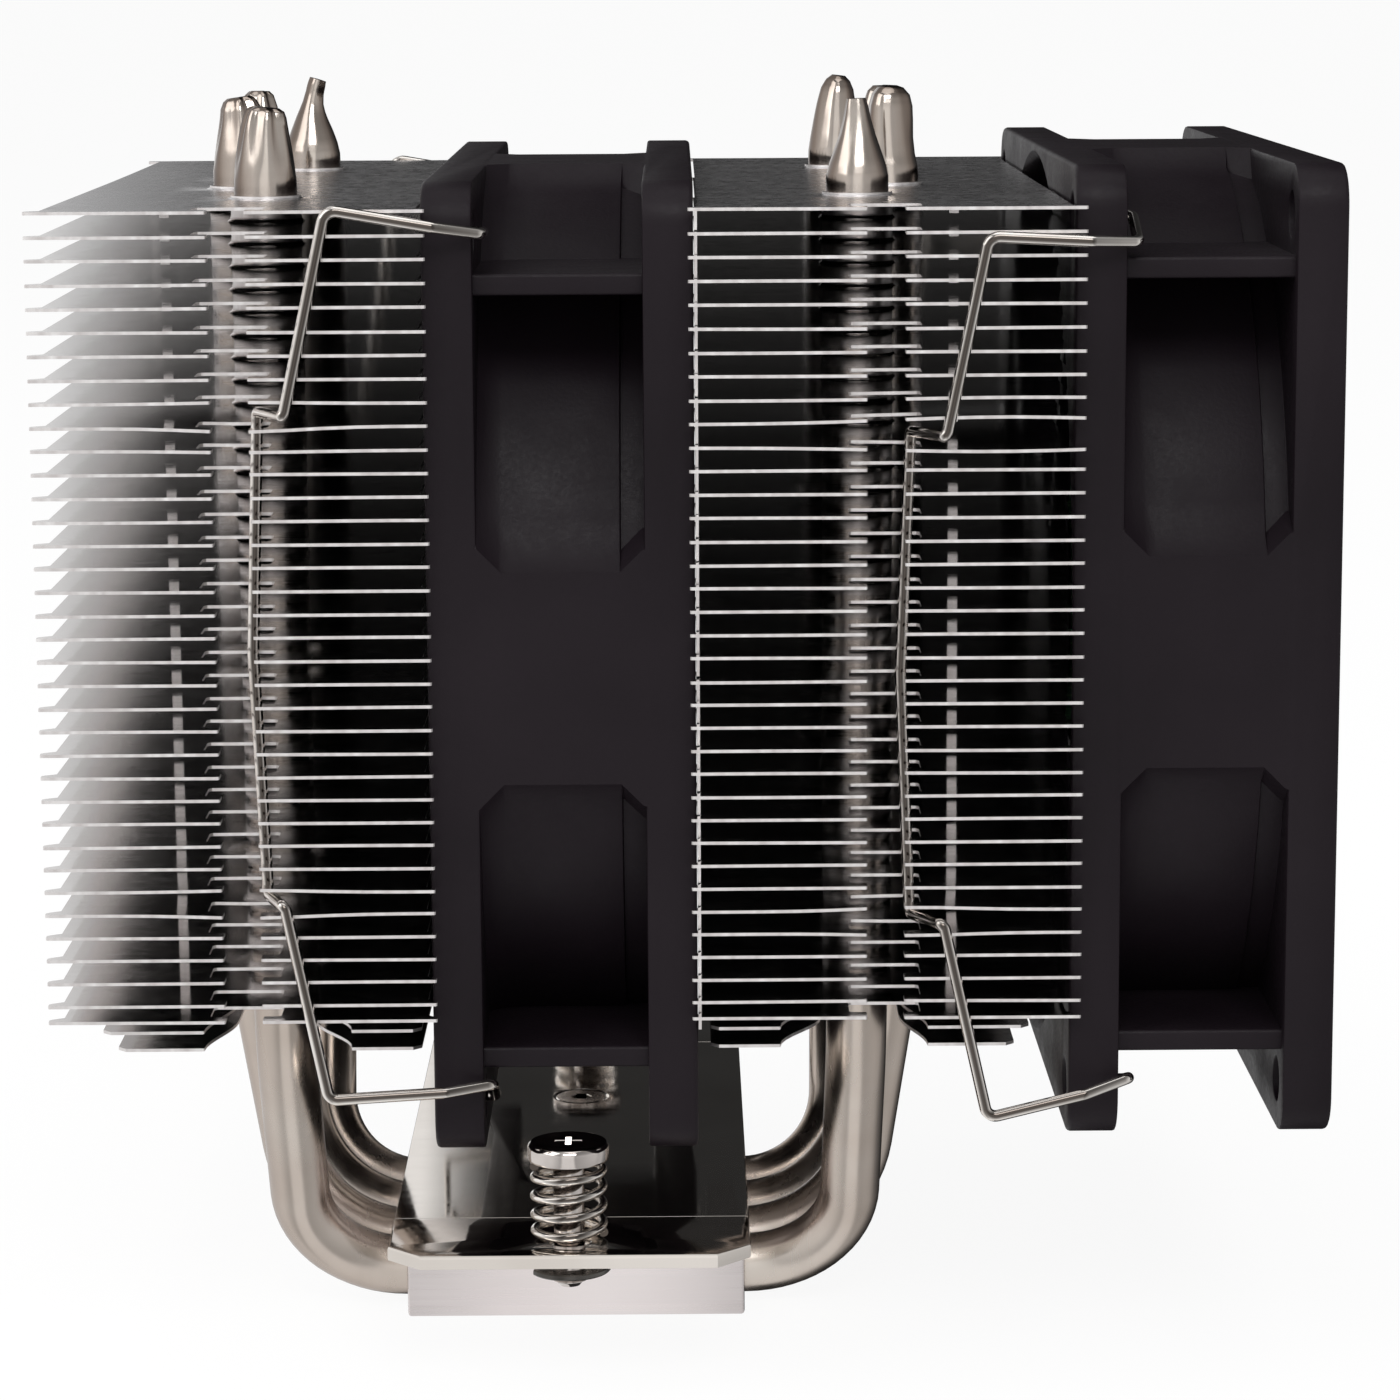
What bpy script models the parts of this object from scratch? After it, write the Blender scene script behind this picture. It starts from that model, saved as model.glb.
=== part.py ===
"""Twin-tower air cooler for a processor: nickel-plated base, four U-shaped
heat pipes, two stacks of aluminium fins, two 92 mm axial fans held by wire
clips, and a mounting plate with two captive spring screws.

Frame: the origin is the centre of the base's contact face, +Z points up away
from the processor, X runs across the two towers (air moves towards -X) and
Y runs along the width of the fins. Left is -X, right +X, front -Y, rear +Y.
Dimensions are in millimetres and are scaled to metres when meshes are made.
"""
import math
from collections import namedtuple

import bmesh
import bpy
from mathutils import Vector, geometry

# ---------------------------------------------------------------- dimensions
MM = 0.001
GAP = 0.3                                # clearance between neighbouring pieces
SIDES = {"front": -1, "rear": 1}         # sign of y

# base
BLOCK_X, BLOCK_Y = 34.4, 38.0            # footprint of block and cover
BLOCK_TOP = 7.0                          # lower block, up to the groove mouths
COVER_BOTTOM, COVER_TOP = BLOCK_TOP + GAP, 13.1
COVER_CORNER = 0.6
COVER_HOLE_R = 1.8
PLATE_BOTTOM, PLATE_TOP = COVER_TOP + GAP, 14.9
PLATE_X, PLATE_Y, PLATE_CHAMFER = 34.9, 92.4, 3.2
SPRING_SCREW_Y = 41.5                    # spring screw axes at +/- this
SPRING_SCREW_HOLE_R = 2.0

# countersunk screws in the plate
PLATE_SCREW_Y = 11.0                     # axes at +/- this
PLATE_SCREW_TIP = 8.6
PLATE_SCREW_R, PLATE_SCREW_HEAD_R = 1.5, 2.75
PLATE_HOLE_R, COUNTERSINK_R = 1.9, 3.2
HEX_R, HEX_DEPTH = 1.1, 0.8

# heat pipes
PIPE_R = 3.0
PIPE_Z = 4.0                             # axis height inside the base
PIPE_LEG_TOP = 115.2                     # where the closed tip begins
PIPE_LEG_BOTTOM = 31.0                   # the legs are straight above this
LEG_BEND_R = 24.0
INNER_ROW_X, OUTER_ROW_X = 28.3, 32.2    # distance of the legs from the centre
Pipe = namedtuple("Pipe", "leg_x leg_y base_y corner_x corner_bend_r")
PIPES = {
    "heat_pipe_1": Pipe(INNER_ROW_X, -27.0, -14.25, 27.8, 10.5),
    "heat_pipe_2": Pipe(OUTER_ROW_X, -9.0, -4.75, 28.3, 13.0),
    "heat_pipe_3": Pipe(OUTER_ROW_X, 9.0, 4.75, 28.3, 13.0),
    "heat_pipe_4": Pipe(INNER_ROW_X, 27.0, 14.25, 27.8, 10.5),
}
# closed tip, from its end down: radius, z
PIPE_TIP = ((1.0, 124.3), (1.3, 121.8), (2.2, 118.8), (2.9, 116.2))

# fins; "in" and "out" are distances in x from the cooler's centre
FIN_T = 0.4
FIN_TOP = 114.2
FIN_PITCH = 2.18
FIN_COUNT = 36                           # full fins in a tower
FIN_LAST_PITCH = 1.6                     # step down to the lowest full fin
FIN_IN, FIN_OUT, FIN_Y = 12.9, 47.2, 47.9
TAB_IN, TAB_OUT, TAB_Y, TAB_SLANT = 12.0, 48.5, 46.35, 0.6   # corner tabs of the top fin
SLOT_IN, SLOT_OUT, SLOT_DEPTH = 26.6, 33.9, 5.7
LOW_PITCH = 1.7
LOW_FINS = ((14.3, 43.9), (15.3, 42.5))  # in and out edges of the short low fins
LOW_Y = 44.9
# notch round each inner-row pipe in the low fins: in x, out x, distance in y
LOW_NOTCH = ((20.3, 34.3, LOW_Y), (24.5, 32.1, 34.0), (24.5, 32.1, 21.0))
COLLAR_IN, COLLAR_OUT = 3.3, 3.8         # half widths of the pressed square collars

# fans
FAN, FAN_T, FLANGE_T = 92.0, 25.0, 4.7
CORNER_R, BARREL_R, BORE_R = 4.0, 47.07, 44.2
HOLE_AT, HOLE_R = 41.25, 2.15            # mounting holes at +/- y and z
RIB_AT, RIB_T, RIB_INSET = 36.6, 2.0, 0.02
OVERLAP = 0.4                            # barrel and ribs run this far into the flanges
HUB_R = 18.5
FANS = {"middle": (0.0, 24.5 + FAN / 2), "side": (60.1, 25.7 + FAN / 2)}  # centre x, z

# wire clips
WIRE_R = 0.55
WIRE_STANDOFF = WIRE_R + GAP             # wire axis from the surface it passes
HOOK_LENGTH = 2.5                        # wire end turned into the fan hole
# top, bottom: x, z of the outer bends; enter, leave: x and gap number from the
# top where the wire enters and leaves the fin slot; slot: x in the slot;
# flange: upper and lower z where the wire crosses the flange
CLIPS = {
    "middle": dict(top=(-20.9, 114.3), enter=(-25.0, 8), slot=-28.4, leave=(-25.9, 29),
                   bottom=(-22.2, 31.0), flange=(111.9, 31.9)),
    "side": dict(top=(39.4, 111.5), enter=(35.7, 9), slot=32.1, leave=(35.6, 30),
                 bottom=(39.7, 28.8), flange=(110.8, 32.1)),
}
# bend radius at each inner point of the clip path
CLIP_BENDS = (0.9, 0.9, 1.0, 1.2, 1.0, 0.3, 0.5, 0.7, 0.7, 0.5, 0.3, 1.0, 1.2, 1.0)

# spring screws
HEAD_R, HEAD_BOTTOM, HEAD_TOP, HEAD_CHAMFER = 3.95, 23.0, 24.8, 0.5
CROSS_HALF_WIDTH, CROSS_HALF_LENGTH, CROSS_DEPTH = 0.45, 2.3, 1.0
STEM_R, GROOVE_R = 1.5, 1.1
SCREW_TIP, TIP_LENGTH = 9.6, 0.6
CREST_R, ROOT_R, THREAD_PITCH, THREAD_TURNS = 1.7, 1.4, 0.7, 2
SPRING_R, SPRING_WIRE_R, SPRING_TURNS, SPRING_STEPS = 3.3, 0.45, 4.5, 10
SPRING_END, SPRING_END_RISE = 0.16, 0.07  # shares of length and height in each closed end
RETAINER_IN, RETAINER_OUT = 1.4, 4.0     # radii
RETAINER_BOTTOM, RETAINER_TOP = 12.0, 12.6


# ------------------------------------------------------------------- objects
def clear_scene():
    for ob in list(bpy.data.objects):
        bpy.data.objects.remove(ob, do_unlink=True)
    for mesh in list(bpy.data.meshes):
        bpy.data.meshes.remove(mesh)


def finish(name, bm, mat, smooth=False, origin=None):
    """Turn a bmesh in millimetres into an object in metres."""
    bmesh.ops.recalc_face_normals(bm, faces=bm.faces)
    bmesh.ops.scale(bm, vec=(MM, MM, MM), verts=bm.verts)
    place = Vector(origin or (0, 0, 0)) * MM
    bmesh.ops.translate(bm, vec=-place, verts=bm.verts)
    mesh = bpy.data.meshes.new(name)
    bm.to_mesh(mesh)
    bm.free()
    ob = bpy.data.objects.new(name, mesh)
    ob.location = place
    bpy.context.scene.collection.objects.link(ob)
    mesh.materials.append(mat)
    if smooth:
        mesh.shade_smooth()
        mesh.set_sharp_from_angle(angle=math.radians(35))
    return ob


def boolean(body, tool, operation):
    """Exact boolean of two closed bmeshes; both are used up."""
    objs = []
    for bm in (body, tool):
        bmesh.ops.recalc_face_normals(bm, faces=bm.faces)
        mesh = bpy.data.meshes.new("tmp")
        bm.to_mesh(mesh)
        bm.free()
        ob = bpy.data.objects.new("tmp", mesh)
        bpy.context.scene.collection.objects.link(ob)
        objs.append(ob)
    mod = objs[0].modifiers.new("cut", "BOOLEAN")
    mod.operation = operation
    mod.solver = "EXACT"
    mod.object = objs[1]
    bpy.context.view_layer.update()
    evaluated = objs[0].evaluated_get(bpy.context.evaluated_depsgraph_get())
    out = bmesh.new()
    out.from_mesh(evaluated.to_mesh())
    evaluated.to_mesh_clear()
    for ob in objs:
        mesh = ob.data
        bpy.data.objects.remove(ob, do_unlink=True)
        bpy.data.meshes.remove(mesh)
    bmesh.ops.remove_doubles(out, verts=out.verts, dist=1e-4)
    bmesh.ops.dissolve_degenerate(out, edges=out.edges, dist=1e-4)
    return out


# ------------------------------------------------------------- flat outlines
def rotated(u, v, angle):
    c, s = math.cos(angle), math.sin(angle)
    return (u * c - v * s, u * s + v * c)


def circle(cx, cy, radius, count):
    return [(cx + radius * math.cos(2 * math.pi * i / count),
             cy + radius * math.sin(2 * math.pi * i / count)) for i in range(count)]


def rectangle(cx, cy, half_x, half_y):
    return [(cx - half_x, cy - half_y), (cx + half_x, cy - half_y),
            (cx + half_x, cy + half_y), (cx - half_x, cy + half_y)]


def rounded_rect(half_x, half_y, radius, steps):
    out = []
    for sx, sy, start in ((1, 1, 0), (-1, 1, 90), (-1, -1, 180), (1, -1, 270)):
        for i in range(steps + 1):
            a = math.radians(start + 90 * i / steps)
            out.append((sx * (half_x - radius) + radius * math.cos(a),
                        sy * (half_y - radius) + radius * math.sin(a)))
    return out


def tube(inner, outer, low, high):
    """Lathe profile of a plain ring."""
    return [(inner, low), (outer, low), (outer, high), (inner, high)]


def inside(point, outline):
    """Whether a ray from the point towards +x crosses the outline an odd number of times."""
    hit = False
    for i, a in enumerate(outline):
        b = outline[(i + 1) % len(outline)]
        if (a[1] > point[1]) != (b[1] > point[1]):
            x = a[0] + (point[1] - a[1]) * (b[0] - a[0]) / (b[1] - a[1])
            if point[0] < x:
                hit = not hit
    return hit


def fill(outer, holes):
    """Triangles over the outline less its holes, as indices into all points."""
    points, edges = [], []
    for loop in [outer] + list(holes):
        first = len(points)
        points += list(loop)
        edges += [(first + i, first + (i + 1) % len(loop)) for i in range(len(loop))]
    result = geometry.delaunay_2d_cdt([Vector(p) for p in points], edges, [], 1, 1e-7)
    verts, _, faces, sources = result[:4]
    out = []
    for face in faces:
        centre = [sum(verts[i][k] for i in face) / len(face) for k in (0, 1)]
        if inside(centre, outer) and not any(inside(centre, h) for h in holes):
            out.append([sources[i][0] for i in face])
    return out


# -------------------------------------------------------------- solid bodies
def join_rings(bm, a, b):
    """Quads between two rings of vertices."""
    for i in range(len(a)):
        j = (i + 1) % len(a)
        bm.faces.new([a[i], a[j], b[j], b[i]])


def prism(outer, holes, low, high, axis="Z"):
    """A plate with holes: outline extruded from low to high along Z or X."""
    def at(p, h):
        return (p[0], p[1], h) if axis == "Z" else (h, p[0], p[1])

    bm = bmesh.new()
    points = list(outer) + [p for h in holes for p in h]
    bottom = [bm.verts.new(at(p, low)) for p in points]
    top = [bm.verts.new(at(p, high)) for p in points]
    for triangle in fill(outer, holes):
        bm.faces.new([top[i] for i in triangle])
        bm.faces.new([bottom[i] for i in reversed(triangle)])
    first = 0
    for loop in [outer] + list(holes):
        end = first + len(loop)
        join_rings(bm, bottom[first:end], top[first:end])
        first = end
    return bm


def lathe(profile, count, axis="Z", y=0.0):
    """Closed body turned about Z or X, its axis moved to y. Profile points are
    (radius, height); radius 0 closes the body on its axis, otherwise the
    profile is a closed loop."""
    bm = bmesh.new()
    rings = []
    for radius, h in profile:
        ring = []
        for i in range(count if radius > 0 else 1):
            a = 2 * math.pi * i / count
            u, v = radius * math.cos(a), radius * math.sin(a)
            ring.append(bm.verts.new((u, v + y, h) if axis == "Z" else (h, u + y, v)))
        rings.append(ring)
    bands = len(profile) if profile[0][0] > 0 else len(profile) - 1
    for k in range(bands):
        a, b = rings[k], rings[(k + 1) % len(rings)]
        for i in range(count):
            j = (i + 1) % count
            corners = [a[i % len(a)], a[j % len(a)], b[j % len(b)], b[i % len(b)]]
            # a ring on the axis is one vertex: drop its repeat
            bm.faces.new(list(dict.fromkeys(corners)))
    bmesh.ops.recalc_face_normals(bm, faces=bm.faces)
    return bm


def fillet(points, radii, steps):
    """A polyline whose inner corners become arcs, with steps per quarter turn."""
    points = [Vector(p) for p in points]
    out = [points[0]]
    for before, corner, after, radius in zip(points, points[1:], points[2:], radii):
        a = (before - corner).normalized()
        b = (after - corner).normalized()
        turn = math.pi - a.angle(b)
        start = corner + a * (radius * math.tan(turn / 2))
        centre = corner + (a + b).normalized() * (radius / math.cos(turn / 2))
        u = (start - centre).normalized()
        w = (-a - u * (-a).dot(u)).normalized()
        count = max(1, int(round(steps * turn / (math.pi / 2))))
        for k in range(count + 1):
            angle = turn * k / count
            out.append(centre + (u * math.cos(angle) + w * math.sin(angle)) * radius)
    out.append(points[-1])
    return out


def sweep(points, radii, count, phase=0.0):
    """A closed round bar along a path, a radius for each point, with flat ends."""
    bm = bmesh.new()
    points = [Vector(p) for p in points]
    directions = []
    for i, point in enumerate(points):
        d = Vector((0, 0, 0))
        if i > 0:
            d += (point - points[i - 1]).normalized()
        if i < len(points) - 1:
            d += (points[i + 1] - point).normalized()
        directions.append(d.normalized())
    across = directions[0].orthogonal().normalized()
    rings = []
    for point, d, radius in zip(points, directions, radii):
        across = (across - d * across.dot(d)).normalized()
        up = d.cross(across)
        angles = [phase + 2 * math.pi * k / count for k in range(count)]
        rings.append([bm.verts.new(point + (across * math.cos(a) + up * math.sin(a)) * radius)
                      for a in angles])
    for a, b in zip(rings, rings[1:]):
        join_rings(bm, a, b)
    bm.faces.new(list(reversed(rings[0])))
    bm.faces.new(rings[-1])
    return bm


# ----------------------------------------------------------------- materials
def material(name, colour, roughness, metallic):
    mat = bpy.data.materials.new(name)
    mat.use_nodes = True
    inputs = mat.node_tree.nodes["Principled BSDF"].inputs
    inputs["Base Color"].default_value = (*colour, 1.0)
    inputs["Roughness"].default_value = roughness
    inputs["Metallic"].default_value = metallic
    mat.diffuse_color = (*colour, 1.0)
    return mat


def metal(name, colour, roughness):
    return material(name, colour, roughness, metallic=1.0)


def nonmetal(name, colour, roughness):
    return material(name, colour, roughness, metallic=0.0)


def make_materials():
    return {
        "plate": metal("nickel_plate", colour=(0.62, 0.57, 0.53), roughness=0.22),
        "pipe": metal("nickel_satin", colour=(0.58, 0.52, 0.47), roughness=0.32),
        "block": metal("nickel_block", colour=(0.78, 0.73, 0.72), roughness=0.3),
        "fin": metal("aluminium_fin", colour=(0.74, 0.73, 0.72), roughness=0.28),
        "steel": metal("bright_steel", colour=(0.66, 0.64, 0.62), roughness=0.2),
        "dark_steel": metal("dark_steel", colour=(0.2, 0.19, 0.19), roughness=0.2),
        "plastic": nonmetal("black_plastic", colour=(0.022, 0.019, 0.023), roughness=0.45),
        "rotor": nonmetal("rotor_plastic", colour=(0.03, 0.027, 0.031), roughness=0.4),
        "core": metal("stator_steel", colour=(0.3, 0.3, 0.31), roughness=0.45),
        "copper": metal("winding_copper", colour=(0.72, 0.3, 0.14), roughness=0.35),
        "magnet": nonmetal("ferrite", colour=(0.05, 0.05, 0.05), roughness=0.7),
        "bronze": metal("sintered_bronze", colour=(0.5, 0.33, 0.15), roughness=0.5),
        "board": nonmetal("circuit_board", colour=(0.02, 0.16, 0.06), roughness=0.5),
    }


# ---------------------------------------------------------------------- base
def make_base_block(mats):
    """Lower block: a y, z outline with four U grooves, extruded along X."""
    half_y = BLOCK_Y / 2
    groove_r = PIPE_R + GAP
    outline = [(-half_y, 0.0), (half_y, 0.0), (half_y, BLOCK_TOP)]
    for y in sorted((pipe.base_y for pipe in PIPES.values()), reverse=True):
        outline.append((y + groove_r, BLOCK_TOP))
        outline += [(y + groove_r * math.cos(a), PIPE_Z + groove_r * math.sin(a))
                    for a in [-math.pi * k / 10 for k in range(11)]]
        outline.append((y - groove_r, BLOCK_TOP))
    outline.append((-half_y, BLOCK_TOP))
    block = prism(outline, [], -BLOCK_X / 2, BLOCK_X / 2, axis="X")
    finish("base_block", block, mats["block"])


def make_base_cover(mats):
    """Cover that closes the grooves."""
    holes = [circle(0, side * PLATE_SCREW_Y, COVER_HOLE_R, 12) for side in SIDES.values()]
    outline = rounded_rect(BLOCK_X / 2, BLOCK_Y / 2, COVER_CORNER, 1)
    finish("base_cover", prism(outline, holes, COVER_BOTTOM, COVER_TOP), mats["block"])


def make_mounting_plate(mats):
    x, y, c = PLATE_X / 2, PLATE_Y / 2, PLATE_CHAMFER
    outline = [(-x + c, -y), (x - c, -y), (x, -y + c), (x, y - c),
               (x - c, y), (-x + c, y), (-x, y - c), (-x, -y + c)]
    holes = [circle(0, side * SPRING_SCREW_Y, SPRING_SCREW_HOLE_R, 16)
             for side in SIDES.values()]
    plate = prism(outline, holes, PLATE_BOTTOM, PLATE_TOP)
    countersink = [(0, PLATE_BOTTOM - 1), (PLATE_HOLE_R, PLATE_BOTTOM - 1),
                   (PLATE_HOLE_R, PLATE_BOTTOM + 0.35), (COUNTERSINK_R, PLATE_TOP + 0.15),
                   (COUNTERSINK_R, PLATE_TOP + 1), (0, PLATE_TOP + 1)]
    for side in SIDES.values():
        cutter = lathe(countersink, 16, y=side * PLATE_SCREW_Y)
        plate = boolean(plate, cutter, "DIFFERENCE")
    finish("mounting_plate", plate, mats["plate"])


def make_plate_screw(mats, where):
    """Countersunk screw with a hexagon socket."""
    y = SIDES[where] * PLATE_SCREW_Y
    profile = [(0, PLATE_SCREW_TIP), (PLATE_SCREW_R, PLATE_SCREW_TIP),
               (PLATE_SCREW_R, PLATE_BOTTOM + 0.25), (PLATE_SCREW_HEAD_R, PLATE_TOP - 0.1),
               (PLATE_SCREW_HEAD_R, PLATE_TOP), (0, PLATE_TOP)]
    socket = prism(circle(0, y, HEX_R, 6), [], PLATE_TOP - HEX_DEPTH, PLATE_TOP + 1)
    screw = boolean(lathe(profile, 14, y=y), socket, "DIFFERENCE")
    finish("plate_screw_" + where, screw, mats["steel"], smooth=True)


# ------------------------------------------------------------- spring screws
def spring_screw_origin(where):
    return (0, SIDES[where] * SPRING_SCREW_Y, PLATE_TOP)


def make_spring_screw(mats, where):
    """Screw with a cross-slotted head, a stem and a ridged tip with a groove."""
    origin = spring_screw_origin(where)
    y = origin[1]
    thread_z = SCREW_TIP + TIP_LENGTH
    profile = [(0, SCREW_TIP), (GROOVE_R, SCREW_TIP), (CREST_R, thread_z)]
    for turn in range(THREAD_TURNS):
        z = thread_z + THREAD_PITCH * turn
        profile += [(CREST_R, z + 0.3), (ROOT_R, z + 0.5), (CREST_R, z + THREAD_PITCH)]
    profile += [(STEM_R, 11.8), (GROOVE_R, 11.9), (GROOVE_R, 12.7), (STEM_R, 12.8),
                (STEM_R, HEAD_BOTTOM), (HEAD_R, HEAD_BOTTOM), (HEAD_R, HEAD_TOP - HEAD_CHAMFER),
                (HEAD_R - HEAD_CHAMFER, HEAD_TOP), (0, HEAD_TOP)]
    screw = lathe(profile, 12, y=y)
    for half_x, half_y in ((CROSS_HALF_WIDTH, CROSS_HALF_LENGTH),
                           (CROSS_HALF_LENGTH, CROSS_HALF_WIDTH)):
        slot = prism(rectangle(0, y, half_x, half_y), [], HEAD_TOP - CROSS_DEPTH, HEAD_TOP + 1)
        screw = boolean(screw, slot, "DIFFERENCE")
    finish("spring_screw_" + where, screw, mats["dark_steel"], smooth=True, origin=origin)


def spring_rise(t):
    """Share of the height reached at share t of the length: the ends are nearly closed."""
    if t < SPRING_END:
        return SPRING_END_RISE * t / SPRING_END
    if t > 1 - SPRING_END:
        return 1 - SPRING_END_RISE * (1 - t) / SPRING_END
    middle = (t - SPRING_END) / (1 - 2 * SPRING_END)
    return SPRING_END_RISE + (1 - 2 * SPRING_END_RISE) * middle


def make_screw_spring(mats, where):
    origin = spring_screw_origin(where)
    low = PLATE_TOP + GAP + SPRING_WIRE_R
    high = HEAD_BOTTOM - GAP - SPRING_WIRE_R
    count = int(SPRING_TURNS * SPRING_STEPS)
    points = []
    for i in range(count + 1):
        t = i / count
        a = 2 * math.pi * SPRING_TURNS * t
        points.append((SPRING_R * math.cos(a), origin[1] + SPRING_R * math.sin(a),
                       low + (high - low) * spring_rise(t)))
    spring = sweep(points, [SPRING_WIRE_R] * len(points), 4)
    finish("screw_spring_" + where, spring, mats["steel"], smooth=True, origin=origin)


def make_retaining_clip(mats, where):
    """Snap-on clip under the plate: a flat ring open towards -X."""
    origin = spring_screw_origin(where)
    angles = [math.radians(d) for d in range(-150, 151, 30)]
    outline = [(radius * math.cos(a), origin[1] + radius * math.sin(a))
               for radius, run in ((RETAINER_OUT, angles), (RETAINER_IN, angles[::-1]))
               for a in run]
    clip = prism(outline, [], RETAINER_BOTTOM, RETAINER_TOP)
    finish("retaining_clip_" + where, clip, mats["dark_steel"], origin=origin)


# --------------------------------------------------------------------- pipes
def make_pipe(mats, name, pipe):
    x, y = pipe.leg_x, pipe.leg_y
    half = fillet([(x, y, PIPE_LEG_TOP), (x, y, PIPE_LEG_BOTTOM),
                   (pipe.corner_x, pipe.base_y, PIPE_Z), (0, pipe.base_y, PIPE_Z)],
                  [LEG_BEND_R, pipe.corner_bend_r], 5)
    right = half[:-1]                    # the run under the cover is one straight span
    left = [(-p.x, p.y, p.z) for p in reversed(right)]
    tip_radii = [radius for radius, z in PIPE_TIP]
    points = [(x, y, z) for radius, z in PIPE_TIP] + right + left
    points += [(-x, y, z) for radius, z in reversed(PIPE_TIP)]
    radii = tip_radii + [PIPE_R] * (2 * len(right)) + tip_radii[::-1]
    finish(name, sweep(points, radii, 8, phase=math.pi / 8), mats["pipe"], smooth=True)


# ---------------------------------------------------------------------- fins
def fin_levels():
    """Top face heights: the full fins, then the low ones."""
    full = [FIN_TOP - FIN_PITCH * i for i in range(FIN_COUNT - 1)]
    full.append(full[-1] - FIN_LAST_PITCH)
    low = [full[-1] - LOW_PITCH * (i + 1) for i in range(len(LOW_FINS))]
    return full, low


def mirrored(half, side):
    """Whole outline from its -Y half, on the tower at the given side in x."""
    return [(side * x, y) for x, y in half + [(x, -y) for x, y in reversed(half)]]


def fin_outline(side, tabs):
    slot_end = FIN_Y - SLOT_DEPTH
    slot = [(SLOT_IN, -FIN_Y), (SLOT_IN, -slot_end), (SLOT_OUT, -slot_end), (SLOT_OUT, -FIN_Y)]
    if tabs:
        half = [(FIN_IN, -TAB_Y), (TAB_IN, -TAB_Y - TAB_SLANT), (TAB_IN, -FIN_Y), *slot,
                (TAB_OUT, -FIN_Y), (TAB_OUT, -TAB_Y - TAB_SLANT), (FIN_OUT, -TAB_Y)]
    else:
        half = [(FIN_IN, -FIN_Y), *slot, (FIN_OUT, -FIN_Y)]
    return mirrored(half, side)


def low_outline(side, x_in, x_out):
    half = [(x_in, -LOW_Y)]
    half += [(notch_in, -y) for notch_in, _, y in LOW_NOTCH]
    half += [(notch_out, -y) for _, notch_out, y in reversed(LOW_NOTCH)]
    half.append((x_out, -LOW_Y))
    return mirrored(half, side)


def leg_centres(side, row_x):
    return [(side * p.leg_x, p.leg_y) for p in PIPES.values() if p.leg_x == row_x]


def tower_fins(side):
    """Outline, top height and pipe centres of each fin, from the top down."""
    full, low = fin_levels()
    outer_row = leg_centres(side, OUTER_ROW_X)
    all_pipes = outer_row + leg_centres(side, INNER_ROW_X)
    fins = [(fin_outline(side, tabs=i == 0), z, all_pipes) for i, z in enumerate(full)]
    fins += [(low_outline(side, *edges), z, outer_row) for edges, z in zip(LOW_FINS, low)]
    return fins


def add_ring(bm, loop, z):
    return [bm.verts.new((x, y, z)) for x, y in loop]


def add_cap(bm, outer, holes):
    """Triangles over a level ring of vertices less the rings of its holes."""
    verts = outer + [v for hole in holes for v in hole]
    for triangle in fill([v.co.xy for v in outer], [[v.co.xy for v in h] for h in holes]):
        bm.faces.new([verts[i] for i in triangle])


def make_fin_stack(mats, name, side):
    """All fins of a tower as one body: square collars round the pipes join
    each fin to the next. The bore is one wall from the top fin to the last
    fin on that pipe."""
    bm = bmesh.new()
    fins = tower_fins(side)
    bore_tops, collar_tops = {}, {}      # rings by pipe centre
    for i, (outline, z, pipes) in enumerate(fins):
        next_pipes = fins[i + 1][2] if i + 1 < len(fins) else []
        top, bottom = add_ring(bm, outline, z), add_ring(bm, outline, z - FIN_T)
        join_rings(bm, top, bottom)
        top_holes, bottom_holes = [], []
        for pipe in pipes:
            bore, collar = [rectangle(*pipe, half, half) for half in (COLLAR_IN, COLLAR_OUT)]
            if i == 0:
                upper = bore_tops[pipe] = add_ring(bm, bore, z)
            else:
                upper = add_ring(bm, collar, z)
                join_rings(bm, collar_tops[pipe], upper)
            if pipe in next_pipes:
                lower = collar_tops[pipe] = add_ring(bm, collar, z - FIN_T)
            else:
                lower = add_ring(bm, bore, z - FIN_T)
                join_rings(bm, bore_tops[pipe], lower)
            top_holes.append(upper)
            bottom_holes.append(lower)
        add_cap(bm, top, top_holes)
        add_cap(bm, bottom, bottom_holes)
    finish(name, bm, mats["fin"])


# ----------------------------------------------------------------- fan frame
# motor mount, a disc with a bearing tube: radius, distance from the frame's -X face
MOUNT_PROFILE = ((0, 0.3), (HUB_R - 0.4, 0.3), (HUB_R, 0.8), (HUB_R, 2.2), (4.4, 2.2),
                 (4.4, 16.5), (3.4, 16.5), (3.4, 2.2), (0, 2.2))
STRUT_FROM, STRUT_TO = HUB_R - 1.5, BORE_R + 1.2     # radii
STRUT_HALF_WIDTH = 1.7
STRUT_X = (0.5, 2.5)                     # from the frame's -X face


def barrel_outline(steps):
    """A circle cut flat where it meets the four sides of the frame."""
    cut = math.asin(math.sqrt(BARREL_R ** 2 - (FAN / 2) ** 2) / BARREL_R)
    points = []
    for quarter in range(4):
        low, high = quarter * math.pi / 2 + cut, (quarter + 1) * math.pi / 2 - cut
        for i in range(steps + 1):
            a = low + (high - low) * i / steps
            points.append((BARREL_R * math.cos(a), BARREL_R * math.sin(a)))
    return points


def motor_mount_mesh():
    """Disc with bearing tube on four diagonal struts."""
    face = -FAN_T / 2
    mount = lathe([(radius, face + x) for radius, x in MOUNT_PROFILE], 20, axis="X")
    w = STRUT_HALF_WIDTH
    corners = ((STRUT_FROM, w), (STRUT_FROM, -w), (STRUT_TO, -w), (STRUT_TO, w))
    for k in range(4):
        outline = [rotated(u, v, math.radians(45 + 90 * k)) for u, v in corners]
        strut = prism(outline, [], face + STRUT_X[0], face + STRUT_X[1], axis="X")
        mount = boolean(mount, strut, "UNION")
    return mount


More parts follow.
